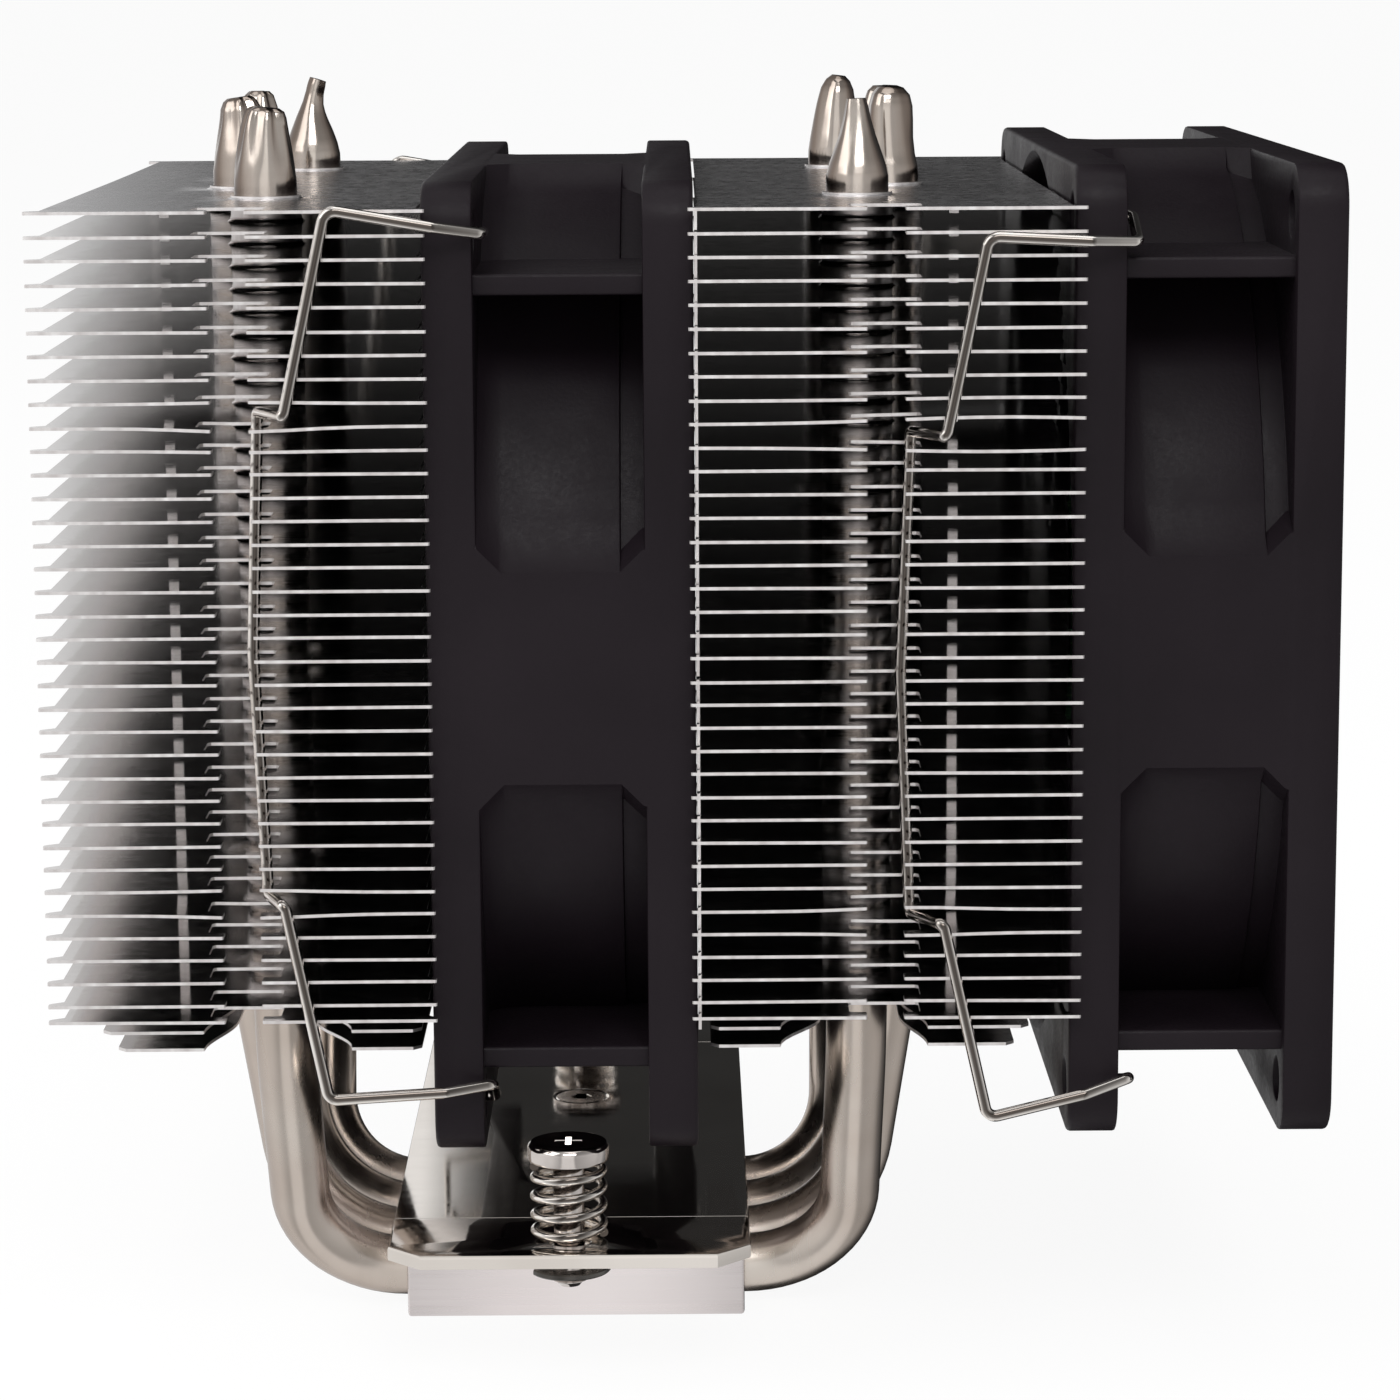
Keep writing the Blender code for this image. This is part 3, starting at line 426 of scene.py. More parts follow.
class Look(Nodes):
    """One Principled material. Textures lie in object space, in metres."""

    def __init__(self, name, colour, rough, metal=1.0, specular=0.5):
        material = bpy.data.materials.new(name)
        material.use_nodes = True
        material.diffuse_color = (*colour, 1)
        MATERIALS[name] = material
        super().__init__(material.node_tree)
        self.shader = self.tree.nodes["Principled BSDF"]
        self.finish(colour, rough)
        self.feed(metal, self.shader.inputs["Metallic"])
        self.feed(specular, self.shader.inputs["Specular IOR Level"])
        self.place = self.node("TexCoord").outputs["Object"]

    def finish(self, colour, rough):
        self.feed(colour, self.shader.inputs["Base Color"])
        self.feed(rough, self.shader.inputs["Roughness"])

    def noise(self, scale, detail=3.0, rough=0.55, stretch=None):
        place = self.place
        if stretch:
            place = self.node("Mapping", {"Vector": place, "Scale": stretch}).outputs[0]
        inputs = {"Scale": scale, "Detail": detail, "Roughness": rough, "Vector": place}
        return self.node("TexNoise", inputs).outputs["Fac"]

    def wave(self, direction, scale, distortion):
        inputs = {"Scale": scale, "Distortion": distortion, "Vector": self.place}
        return self.node("TexWave", inputs, bands_direction=direction).outputs["Fac"]

    def facing(self):
        """0 where the surface faces the viewer, 1 at its rim."""
        return self.node("LayerWeight", {"Blend": 0.5}).outputs["Facing"]

    def normal_z(self):
        return self.separate(self.node("NewGeometry").outputs["Normal"])[2]

    def place_z(self):
        return self.separate(self.place)[2]

    def bump(self, height, strength, distance):
        node = self.node("Bump", {"Strength": strength, "Distance": distance, "Height": height})
        self.feed(node.outputs["Normal"], self.shader.inputs["Normal"])


def aluminium_fin():
    """Fin sheet: rolled faces, bright sheared edges, a duller face on top of the stack."""
    look = Look("aluminium_fin", colour=(0.6, 0.58, 0.57), rough=0.25)
    face = look.above(look.math("ABSOLUTE", look.normal_z()), limit=0.5)
    streak = look.noise(scale=90, detail=4, rough=0.6, stretch=(1.0, 14.0, 1.0))
    cloud = look.noise(scale=55, rough=0.5)
    # 60 % streaks, 40 % clouds
    rolled = look.ramp(look.add(look.times(streak, 0.6), look.times(cloud, 0.4)), stops=[
        (0.3, (0.80, 0.765, 0.755)), (0.55, (0.86, 0.835, 0.825)), (0.75, (0.91, 0.89, 0.88))])
    cut = look.noise(scale=900, detail=2, rough=0.5, stretch=(1.0, 1.0, 0.25))
    sheared = look.ramp(cut, stops=[
        (0.3, (0.66, 0.62, 0.61)), (0.6, (0.84, 0.81, 0.80)), (0.75, (0.94, 0.92, 0.91))])
    lid = look.times(look.above(look.place_z(), limit=0.1138),
                     look.above(look.normal_z(), limit=0.5))
    dull = look.mix(cloud, (0.50, 0.49, 0.50), (0.62, 0.61, 0.62))
    rough = look.add(look.times(face, look.span(streak, to=(-0.32, -0.24))),
                     look.span(cut, to=(0.36, 0.46)))
    extra_lid_rough = look.times(lid, 0.14)
    look.finish(colour=look.mix(lid, look.mix(face, sheared, rolled), dull),
                rough=look.add(rough, extra_lid_rough))
    look.bump(streak, strength=0.03, distance=0.00001)


def nickel_satin():
    """Heat pipes: satin below, smoother on the tips above the fins; painted shade darkens every
    flank towards the rim, weakly below and strongly on the tips.
    """
    look = Look("nickel_satin", colour=(0.6, 0.54, 0.49), rough=0.25)
    big = look.noise(scale=70, rough=0.5)
    fine = look.noise(scale=380, detail=4, rough=0.6, stretch=(1.0, 1.0, 0.12))
    tone = look.ramp(big, stops=[
        (0.3, (0.56, 0.49, 0.43)), (0.5, (0.64, 0.57, 0.51)), (0.7, (0.70, 0.64, 0.58))])
    tip = look.span(look.place_z(), source=(0.1135, 0.1148))
    facing = look.facing()
    # painted shade: the tips' flanks darken strongly from the centre towards the rim
    painted_tip_flank_shade = look.ramp(facing, stops=[
        (0.0, (1.0, 1.0, 1.0)), (0.12, (0.72, 0.70, 0.69)), (0.4, (0.34, 0.30, 0.28)),
        (0.7, (0.20, 0.17, 0.16)), (1.0, (0.5, 0.46, 0.44))])
    # painted shade: the pipes' flanks below the tips darken weakly towards the rim
    painted_pipe_edge_shade = look.ramp(facing, stops=[
        (0.0, (1.0, 1.0, 1.0)), (0.35, (0.9, 0.88, 0.87)), (0.75, (0.62, 0.58, 0.56)),
        (1.0, (0.5, 0.46, 0.44))])
    # the tips take the strong painted shade, the rest of the pipe the weak one
    shade = look.mix(tip, painted_pipe_edge_shade, painted_tip_flank_shade)
    rough = look.add(look.span(fine, to=(0.12, 0.24)), look.span(big, to=(0.04, 0.1)))
    tip_polish = look.times(tip, 0.09)
    look.finish(colour=look.mix(1.0, tone, shade, mode="MULTIPLY"),
                rough=look.math("SUBTRACT", rough, tip_polish))
    look.bump(fine, strength=0.16, distance=0.00004)


def nickel_plate():
    """Polished mounting plate with a few fine scratches."""
    look = Look("nickel_plate", colour=(0.7, 0.66, 0.62), rough=0.07)
    big = look.noise(scale=60, rough=0.5)
    scratch = look.noise(scale=240, detail=5, rough=0.65, stretch=(0.15, 3.0, 1.0))
    look.finish(colour=look.ramp(big, stops=[(0.3, (0.66, 0.61, 0.56)), (0.7, (0.78, 0.73, 0.68))]),
                rough=look.add(look.span(scratch, to=(0.03, 0.1), source=(0.45, 0.75)),
                               look.span(big, to=(0.0, 0.05))))
    look.bump(scratch, strength=0.05, distance=0.00002)


def nickel_block():
    """Brushed nickel on the milled block."""
    look = Look("nickel_block", colour=(0.86, 0.8, 0.79), rough=0.3)
    big = look.noise(scale=45, rough=0.5)
    mill = look.noise(scale=300, detail=5, rough=0.6, stretch=(0.05, 0.05, 5.0))
    # 70 % broad tone, 30 % milling marks
    tone = look.add(look.times(big, 0.7), look.times(mill, 0.3))
    look.finish(
        colour=look.ramp(tone, stops=[(0.3, (0.80, 0.73, 0.72)), (0.7, (0.92, 0.86, 0.85))]),
        rough=look.add(look.span(mill, to=(0.2, 0.32)), look.span(big, to=(0.0, 0.05))))
    look.bump(mill, strength=0.12, distance=0.00003)


def bright_steel():
    """Springs, wire clips and plate screws, with a painted reflection: near-black where the surface
    faces the viewer, the steel's own tone towards the rim.
    """
    look = Look("bright_steel", colour=(0.7, 0.68, 0.66), rough=0.16)
    big = look.noise(scale=160, rough=0.5)
    fine = look.noise(scale=1500, rough=0.6)
    tone = look.ramp(big, stops=[(0.3, (0.72, 0.67, 0.62)), (0.7, (0.92, 0.88, 0.84))])
    # painted reflection: dark where the surface faces the viewer, brightening to the steel's tone at
    # the rim
    painted_reflection_mask = look.span(look.facing(), source=(0.04, 0.3))
    look.finish(colour=look.mix(painted_reflection_mask, (0.10, 0.085, 0.075), tone),
                rough=look.add(look.span(fine, to=(0.06, 0.12)), look.span(big, to=(0.0, 0.05))))
    look.bump(fine, strength=0.08, distance=0.00002)


def dark_steel():
    """Darker, polished nickel of the spring screws."""
    look = Look("dark_steel", colour=(0.62, 0.58, 0.55), rough=0.08)
    big = look.noise(scale=200, rough=0.5)
    fine = look.noise(scale=1800, rough=0.6)
    look.finish(colour=look.ramp(big, stops=[(0.3, (0.55, 0.5, 0.47)), (0.7, (0.74, 0.69, 0.66))]),
                rough=look.add(look.span(fine, to=(0.04, 0.1)), look.span(big, to=(0.0, 0.04))))


def black_steel():
    """Blackened spring steel of the snap rings."""
    look = Look("black_steel", colour=(0.1, 0.095, 0.09), rough=0.28)
    big = look.noise(scale=220, rough=0.5)
    fine = look.noise(scale=1600, rough=0.6)
    look.finish(colour=look.ramp(big, stops=[(0.3, (0.07, 0.065, 0.06)), (0.7, (0.16, 0.15, 0.14))]),
                rough=look.add(look.span(fine, to=(0.16, 0.28)), look.span(big, to=(0.0, 0.06))))
    look.bump(fine, strength=0.1, distance=0.00002)


def black_plastic():
    """Moulded fan frames with a fine spark-eroded grain."""
    look = Look("black_plastic", colour=(0.010, 0.0075, 0.0095), rough=0.45, metal=0.0,
                specular=0.14)
    big = look.noise(scale=28, detail=4)
    grain = look.noise(scale=2600, detail=2, rough=0.5)
    worn = look.noise(scale=120, detail=5, rough=0.65)
    tone = look.ramp(big, stops=[(0.3, (0.0070, 0.0046, 0.0064)), (0.5, (0.0094, 0.0063, 0.0087)),
                                 (0.75, (0.0125, 0.0088, 0.0116))])
    look.finish(colour=tone,
                rough=look.add(look.span(worn, to=(0.34, 0.5)), look.span(grain, to=(0.0, 0.1))))
    look.bump(grain, strength=0.35, distance=0.00005)


def rotor_plastic():
    """Smoother plastic of the impellers."""
    look = Look("rotor_plastic", colour=(0.02, 0.018, 0.021), rough=0.34, metal=0.0, specular=0.3)
    big = look.noise(scale=35, detail=4)
    grain = look.noise(scale=1500, detail=2, rough=0.5)
    tone = look.ramp(big, stops=[(0.3, (0.012, 0.0105, 0.0125)), (0.7, (0.020, 0.0178, 0.021))])
    look.finish(colour=tone,
                rough=look.add(look.span(grain, to=(0.26, 0.34)), look.span(big, to=(0.0, 0.08))))
    look.bump(grain, strength=0.14, distance=0.00003)


def stator_steel():
    """Laminated iron: thin sheets stacked along the fan's axis."""
    look = Look("stator_steel", colour=(0.3, 0.3, 0.31), rough=0.4)
    sheets = look.wave("X", scale=320.0, distortion=0.3)
    tone = look.ramp(sheets, stops=[
        (0.1, (0.12, 0.12, 0.125)), (0.4, (0.33, 0.33, 0.34)), (0.9, (0.42, 0.42, 0.43))])
    look.finish(colour=tone, rough=look.span(look.noise(scale=500), to=(0.32, 0.5)))
    look.bump(sheets, strength=0.4, distance=0.00008)


def winding_copper():
    """Enamelled copper wire."""
    look = Look("winding_copper", colour=(0.7, 0.28, 0.12), rough=0.3)
    wires = look.wave("DIAGONAL", scale=620.0, distortion=0.6)
    tone = look.ramp(wires, stops=[
        (0.05, (0.18, 0.05, 0.02)), (0.5, (0.62, 0.23, 0.09)), (0.95, (0.85, 0.42, 0.2))])
    look.finish(colour=tone, rough=look.span(look.noise(scale=700), to=(0.2, 0.36)))
    look.bump(wires, strength=0.8, distance=0.0001)


def ferrite():
    look = Look("ferrite", colour=(0.05, 0.05, 0.052), rough=0.65, metal=0.0)
    grain = look.noise(scale=1700, detail=4, rough=0.7)
    tone = look.ramp(grain, stops=[(0.3, (0.03, 0.03, 0.032)), (0.7, (0.08, 0.078, 0.076))])
    look.finish(colour=tone, rough=look.span(grain, to=(0.55, 0.8)))
    look.bump(grain, strength=0.3, distance=0.00006)


def sintered_bronze():
    look = Look("sintered_bronze", colour=(0.5, 0.33, 0.15), rough=0.45)
    cells = look.node("TexVoronoi", {"Scale": 2600.0, "Vector": look.place}).outputs["Distance"]
    tone = look.ramp(cells, stops=[(0.0, (0.62, 0.42, 0.2)), (0.6, (0.4, 0.25, 0.11))])
    look.finish(colour=tone, rough=look.span(cells, to=(0.32, 0.6), source=(0.0, 0.6)))
    look.bump(cells, strength=0.3, distance=0.00005)


def circuit_board():
    """Lacquer over copper tracks."""
    look = Look("circuit_board", colour=(0.02, 0.15, 0.06), rough=0.35, metal=0.0)
    # turned so that the pattern lies in the board's plane
    turned = look.node("VectorRotate", {"Angle": PI / 2, "Vector": look.place},
                       rotation_type="Y_AXIS").outputs[0]
    tracks = look.node("TexBrick", {
        "Scale": 260.0, "Mortar Size": 0.03, "Color1": (0.012, 0.11, 0.045),
        "Color2": (0.018, 0.15, 0.06), "Mortar": (0.1, 0.3, 0.1), "Vector": turned})
    cover = look.span(look.noise(scale=240), to=(0.0, 0.6))
    look.finish(colour=look.mix(cover, tracks.outputs["Color"], (0.01, 0.09, 0.035)),
                rough=look.span(look.noise(scale=400), to=(0.24, 0.42)))


# -------------------------------------------------------------------- base
def make_block():
    """Cold plate with four U grooves, open at the top."""
    half_x, half_y = BLOCK_X / 2, BLOCK_Y / 2
    base_ys = sorted((pipe[2] for pipe in PIPES.values()), reverse=True)

    def section(inset):
        """Cross-section in y, z."""
        top = BLOCK_Z - inset
        radius = GROOVE_R + inset
        outline = [(-half_y + inset, inset), (half_y - inset, inset), (half_y - inset, top)]
        for y in base_ys:
            outline.append((y + radius, top))
            for k in range(21):
                angle = -PI * k / 20
                outline.append((y + radius * math.cos(angle), PIPE_Z + radius * math.sin(angle)))
            outline.append((y - radius, top))
        outline.append((-half_y + inset, top))
        return outline
    edge = (0.3, 0.09)
    mesh = loft([(x, section(inset)) for x, inset in soft_ends(-half_x, half_x, edge, edge)], "X")
    piece("cold_plate_block", mesh, "nickel_block", "base_block", sharp=30)


def make_cover():
    """Cover block with grooves that sit over the pipes."""
    half_x, half_y = BLOCK_X / 2, BLOCK_Y / 2
    edge = (0.35, 0.1)
    corner_r, screw_hole_r = 0.8, 1.8
    levels = []
    for z, inset in soft_ends(COVER_Z0, COVER_Z1, edge, edge):
        holes = [circle(0, s * PLATE_SCREW_Y, screw_hole_r + inset, 24) for s in (-1, 1)]
        outer = rounded_rect(half_x - inset, half_y - inset, corner_r - inset, 4)
        levels.append((z, outer, *holes))
    mesh = loft(levels)
    for _, _, y, _, _ in PIPES.values():
        groove = sweep([(-half_x - 2, y, PIPE_Z), (half_x + 2, y, PIPE_Z)], GROOVE_R, 40)
        mesh = boolean(mesh, groove, "DIFFERENCE")
    piece("pipe_cover_block", mesh, "nickel_block", "base_cover", sharp=30)


def make_bridge():
    """Mounting plate: softened edges, countersinks and a scribed line near each end."""
    half_x, half_y = PLATE_X / 2, PLATE_Y / 2

    def outline(inset):
        side, end = half_x - inset, half_y - inset
        shift = inset * 0.41  # keeps the chamfers parallel
        corner_x = half_x - PLATE_CHAMFER - shift
        corner_y = half_y - PLATE_CHAMFER
        return [(-corner_x, -end), (corner_x, -end), (side, -corner_y + shift),
                (side, corner_y - shift), (corner_x, end), (-corner_x, end),
                (-side, corner_y - shift), (-side, -corner_y + shift)]
    levels = []
    for z, inset in soft_ends(PLATE_Z0, PLATE_Z1, (0.25, 0.07), (0.3, 0.09)):
        holes = [circle(0, s * SCREW_Y, 2.0 + inset, 32) for s in (-1, 1)]
        levels.append((z, outline(inset), *holes))
    mesh = loft(levels)
    for s in (-1, 1):
        countersink = lathe([(0, PLATE_Z0 - 1), (1.9, PLATE_Z0 - 1), (1.9, PLATE_Z0 + 0.35),
                             (3.05, PLATE_Z1 - 0.05), (3.2, PLATE_Z1 + 1), (0, PLATE_Z1 + 1)],
                            40, centre_y=s * PLATE_SCREW_Y)
        mesh = boolean(mesh, countersink, "DIFFERENCE")
        y = s * SCRIBE_Y
        groove = [(y - 0.09, PLATE_Z1 + 0.1), (y - 0.05, PLATE_Z1 - 0.07),
                  (y + 0.05, PLATE_Z1 - 0.07), (y + 0.09, PLATE_Z1 + 0.1)]
        mesh = boolean(mesh, loft([(-half_x - 1, groove), (half_x + 1, groove)], "X"),
                       "DIFFERENCE")
    piece("mounting_bridge", mesh, "nickel_plate", "mounting_plate", sharp=30)


def thread(start, end, turn):
    """Profile points of a thread; turn lists (radius, rise) within one pitch."""
    return [(radius, z + rise) for z in steps(start, end, THREAD_PITCH) for radius, rise in turn]


def make_plate_screw(name, y):
    """Countersunk screw with a hexagon socket."""
    # radius, z
    profile = [(0, 8.6), (1.2, 8.6), (1.5, 8.9)]
    profile += thread(8.9, 12.2, turn=[(1.5, 0.12), (1.28, 0.3), (1.5, 0.48)])
    profile += [(1.5, PLATE_Z0 + 0.25), (2.65, PLATE_Z1 - 0.2), (2.75, PLATE_Z1 - 0.1),
                (2.66, PLATE_Z1 - 0.01), (0, PLATE_Z1)]
    # height from the plate's top, radius
    socket = loft([(PLATE_Z1 + rise, circle(0, y, radius, 6))
                   for rise, radius in ((-0.9, 1.05), (-0.1, 1.08), (0.1, 1.3))])
    screw = boolean(lathe(profile, 32, centre_y=y), socket, "DIFFERENCE")
    piece(name + "_fastener", screw, "bright_steel", name, sharp=30)


# ----------------------------------------------------------- spring screws
def make_spring_bolt(tag, y):
    """Screw with a broad head and a cross recess."""
    # radius, z
    profile = [(0, TIP_Z), (1.0, TIP_Z), (1.3, TIP_Z + 0.35)]
    profile += thread(TIP_Z + 0.35, 11.4, turn=[(1.68, 0.2), (1.68, 0.28), (1.4, 0.46)])
    profile += [
        (1.5, 11.85), (1.12, 11.95), (1.12, 12.65), (1.5, 12.75), (1.5, HEAD_Z0 - 0.15),
        (1.65, HEAD_Z0), (HEAD_R - 0.25, HEAD_Z0), (HEAD_R - 0.07, HEAD_Z0 + 0.07),
        (HEAD_R, HEAD_Z0 + 0.25), (HEAD_R, HEAD_Z1 - 0.55), (HEAD_R - 0.08, HEAD_Z1 - 0.3),
        (HEAD_R - 0.3, HEAD_Z1 - 0.08), (HEAD_R - 0.6, HEAD_Z1), (0, HEAD_Z1)]
    screw = lathe(profile, 56, centre_y=y)
    # recess: height from the head's top, half width, half length
    recess = ((-1.2, 0.16, 0.5), (-0.12, 0.26, 1.25), (0.2, 0.34, 1.4))
    for crosswise in (False, True):
        levels = []
        for rise, half_x, half_y in recess:
            if crosswise:
                half_x, half_y = half_y, half_x
            levels.append((HEAD_Z1 + rise, [(-half_x, y - half_y), (half_x, y - half_y),
                                            (half_x, y + half_y), (-half_x, y + half_y)]))
        screw = boolean(screw, loft(levels), "DIFFERENCE")
    piece("spring_bolt_" + tag, screw, "dark_steel", "spring_screw_" + tag, sharp=30,
          body=tag + "_screw")


def coil_rise(share):
    """Share of the coil's height at a share of its length; the end turns lie closed."""
    if share < CLOSED_TURN:
        return CLOSED_RISE * share / CLOSED_TURN
    if share > 1 - CLOSED_TURN:
        return 1 - CLOSED_RISE * (1 - share) / CLOSED_TURN
    return CLOSED_RISE + (1 - 2 * CLOSED_RISE) * (share - CLOSED_TURN) / (1 - 2 * CLOSED_TURN)


def make_spring(tag, y):
    low, high = PLATE_Z1 + 0.3 + SPRING_WIRE, HEAD_Z0 - 0.3 - SPRING_WIRE
    count = int(SPRING_TURNS * 32)
    path = []
    for i in range(count + 1):
        share = i / count
        angle = 2 * PI * SPRING_TURNS * share
        path.append((SPRING_R * math.cos(angle), y + SPRING_R * math.sin(angle),
                     low + (high - low) * coil_rise(share)))
    spring = piece("screw_spring_coil_" + tag, sweep(path, SPRING_WIRE, 14), "bright_steel",
                   "screw_spring_" + tag, sharp=40)
    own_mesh(spring)


def make_snap_ring(tag, y):
    """Open ring under the plate with three inner lugs."""
    outer_r, inner_r, lug_height = 4.0, 2.3, 0.9
    angles = [math.radians(degrees) for degrees in range(-150, 151, 5)]

    def outline(inset):
        points = [((outer_r - inset) * math.cos(a), y + (outer_r - inset) * math.sin(a))
                  for a in angles]
        for a in reversed(angles):
            radius = inner_r - lug_height * max(0.0, math.cos(3 * a)) ** 2 + inset
            points.append((radius * math.cos(a), y + radius * math.sin(a)))
        return points
    # z, inset
    mesh = loft([(z, outline(inset))
                 for z, inset in ((12.0, 0.12), (12.12, 0.0), (12.48, 0.0), (12.6, 0.12))])
    piece("snap_ring_" + tag, mesh, "black_steel", "retaining_clip_" + tag, sharp=40,
          body=tag + "_screw_carrier")


# ------------------------------------------------------------------- pipes
# Closed tips, by pipe and side: rows of (z, radius, flute depth), number of flutes,
# lean (x, y) at the very end, phase of the flutes
TIPS = {
    ("heat_pipe_1", -1): (
        [(116.0, 2.98, 0), (117.4, 2.82, .05), (119.0, 2.52, .12), (120.8, 2.16, .17),
         (121.9, 1.92, .2), (122.5, 1.66, .24), (122.8, 1.2, .2)], 7, (0.2, 0.0), 0.4),
    ("heat_pipe_2", -1): (
        [(116.0, 2.98, 0), (117.6, 2.8, .05), (119.4, 2.45, .12), (121.0, 2.1, .17),
         (122.2, 1.86, .2), (122.9, 1.5, .24), (123.2, 1.1, .2)], 7, (-0.3, 0.0), 1.3),
    ("heat_pipe_3", -1): (
        [(116.0, 2.98, 0), (117.8, 2.7, .04), (119.8, 2.2, .1), (121.6, 1.8, .16),
         (122.8, 1.4, .2), (123.2, 1.0, .2)], 6, (0.0, 0.2), 0.9),
    ("heat_pipe_4", -1): (
        [(116.0, 2.98, 0), (117.2, 2.7, .01), (118.4, 2.25, .03), (119.6, 1.75, .04),
         (120.6, 1.35, .05), (121.4, 1.1, .05), (122.4, 0.95, .08), (123.3, 0.92, .1),
         (123.9, 0.85, .12)], 4, (0.75, 0.0), 0.2),
    ("heat_pipe_1", 1): (
        [(116.0, 2.98, 0), (117.2, 2.7, .02), (118.6, 2.2, .04), (120.0, 1.7, .06),
         (121.4, 1.32, .08), (122.6, 1.08, .1), (123.3, 0.9, .12)], 5, (-0.1, 0.0), 0.7),
    ("heat_pipe_2", 1): (
        [(116.0, 2.9, 0), (117.2, 2.6, .03), (118.8, 2.38, .07), (120.6, 2.3, .12),
         (122.0, 2.2, .14), (123.1, 1.9, .16), (123.8, 1.3, .14), (124.0, 0.7, .1)],
        3, (0.1, 0.0), 0.3),
    ("heat_pipe_3", 1): (
        [(116.0, 2.98, 0), (117.8, 2.7, .03), (119.8, 2.25, .08), (121.6, 1.8, .12),
         (122.9, 1.35, .12), (123.4, 0.8, .1)], 5, (0.0, 0.2), 0.1),
    ("heat_pipe_4", 1): (
        [(116.0, 2.98, 0), (117.4, 2.75, .02), (119.2, 2.4, .04), (121.0, 2.05, .06),
         (122.6, 1.7, .08), (123.5, 1.25, .08), (124.0, 0.7, .05)], 4, (0.3, 0.0), 0.5),
}
TIP_STEPS = 3     # steps between two rows
LEAN_FROM = 119.0  # z where a tip starts to lean


def tip_stations(name, side, leg_x, leg_y):
    """(point, radius, (flute depth, flutes, phase)) up one tip."""
    rows, flutes, lean, phase = TIPS[name, side]
    levels = []
    for row, following in zip(rows, rows[1:]):
        for step in range(TIP_STEPS):
            share = step / TIP_STEPS
            levels.append([a + (b - a) * share for a, b in zip(row, following)])
    levels.append(rows[-1])
    top = rows[-1][0]
    stations = []
    for z, radius, depth in levels:
        share = max(0, (z - LEAN_FROM) / (top - LEAN_FROM)) ** 2
        point = (side * leg_x + lean[0] * share, leg_y + lean[1] * share, z)
        stations.append((point, radius, (depth, flutes, phase)))
    return stations


def make_pipe(name):
    """One U-shaped pipe, swept from its right tip to its left."""
    leg_x, leg_y, base_y, corner_x, bend_r = PIPES[name]
    right = fillet([(leg_x, leg_y, PIPE_TOP), (leg_x, leg_y, LEG_Z), (corner_x, base_y, PIPE_Z),
                    (0, base_y, PIPE_Z)], [UPPER_BEND, bend_r], 16)[:-1]
    left = [Vector((-p.x, p.y, p.z)) for p in reversed(right)]
    plain = (0, 1, 0)
    stations = tip_stations(name, 1, leg_x, leg_y)[::-1]
    stations += [(point, PIPE_R, plain) for point in right + left]
    stations += tip_stations(name, -1, leg_x, leg_y)
    points, radii, flutings = zip(*stations)

    def shape(i, angle):
        depth, flutes, phase = flutings[i]
        ripple = math.cos(flutes * angle + phase)
        ripple += 0.35 * math.cos((flutes + 2) * angle + 2 * phase)
        return 1.0 + depth * (ripple - 0.35) * 0.55
    mesh = sweep(points, list(radii), 40, shape, Vector((1, 0, 0)))
    piece(name + "_tube", mesh, "nickel_satin", name, sharp=60)


# -------------------------------------------------------------------- fins
def gap_level(k):
    """Middle of a gap between full fins, counted from the top."""
    return (FIN_LEVELS[k] - FIN_T + FIN_LEVELS[k + 1]) / 2


def dense(loop, step):
    """More points along the long sides of an outline."""
    points = []
    for (x0, y0), (x1, y1) in zip(loop, loop[1:] + loop[:1]):
        count = max(1, int(math.hypot(x1 - x0, y1 - y0) / step))
        points += [(x0 + (x1 - x0) * j / count, y0 + (y1 - y0) * j / count)
                   for j in range(count)]
    return points


def mirrored(front, side):
    """Full outline from its front half, for the tower on the given side."""
    points = front + [(x, -y) for x, y in reversed(front)]
    return [(side * x, y) for x, y in points]


def fin_outline(side):
    """Fin with corner tabs and a T-shaped slot at each end."""
    end = -FIN_Y
    lip, floor = end + SLOT_LIP, end + SLOT_DEPTH
    arm_in, arm_out = SLOT_IN - SLOT_ARM, SLOT_OUT + SLOT_ARM
    return mirrored([
        (FIN_IN, end + 1.55), (TAB_IN + 0.25, end + 0.95), (TAB_IN, end + 0.7),
        (TAB_IN, end + 0.12), (TAB_IN + 0.12, end), (SLOT_IN - 0.1, end), (SLOT_IN, end + 0.1),
        (SLOT_IN, lip), (arm_in + 0.25, lip), (arm_in, lip + 0.25), (arm_in, floor - 0.3),
        (arm_in + 0.3, floor), (arm_out - 0.3, floor), (arm_out, floor - 0.3),
        (arm_out, lip + 0.25), (arm_out - 0.25, lip), (SLOT_OUT, lip), (SLOT_OUT, end + 0.1),
        (SLOT_OUT + 0.1, end), (TAB_OUT - 0.12, end), (TAB_OUT, end + 0.12),
        (TAB_OUT, end + 0.7), (TAB_OUT - 0.3, end + 1.0), (FIN_OUT, end + 1.6)], side)


def low_outline(side, x0, x1):
    """Short fin under the stack, cut away round the pipes nearest its two ends."""
    def corner(x, start, end):
        """Soft corner of the cut-away, from one angle to another."""
        angles = [math.radians(start + (end - start) * k / 6) for k in range(7)]
        return [(x + CUT_R * math.cos(a), -CUT_Y - CUT_R + CUT_R * math.sin(a)) for a in angles]

    def flare(mouth, neck):
        """S-shaped side of the cut-away, from the fin's edge to the parallel part."""
        return [(mouth + (neck - mouth) * (1 - math.cos(PI * k / 8)) / 2,
                 -LOW_Y + (LOW_Y - NECK_Y) * k / 8) for k in range(9)]
    front = [(x0, -LOW_Y + 0.8), (x0 + 0.8, -LOW_Y)] + flare(MOUTH_IN, NECK_IN)
    front += corner(NECK_IN + CUT_R, 180, 90) + corner(NECK_OUT - CUT_R, 90, 0)
    front += flare(MOUTH_OUT, NECK_OUT)[::-1]
    front += [(x1 - 0.8, -LOW_Y), (x1, -LOW_Y + 0.8)]
    return mirrored(front, side)


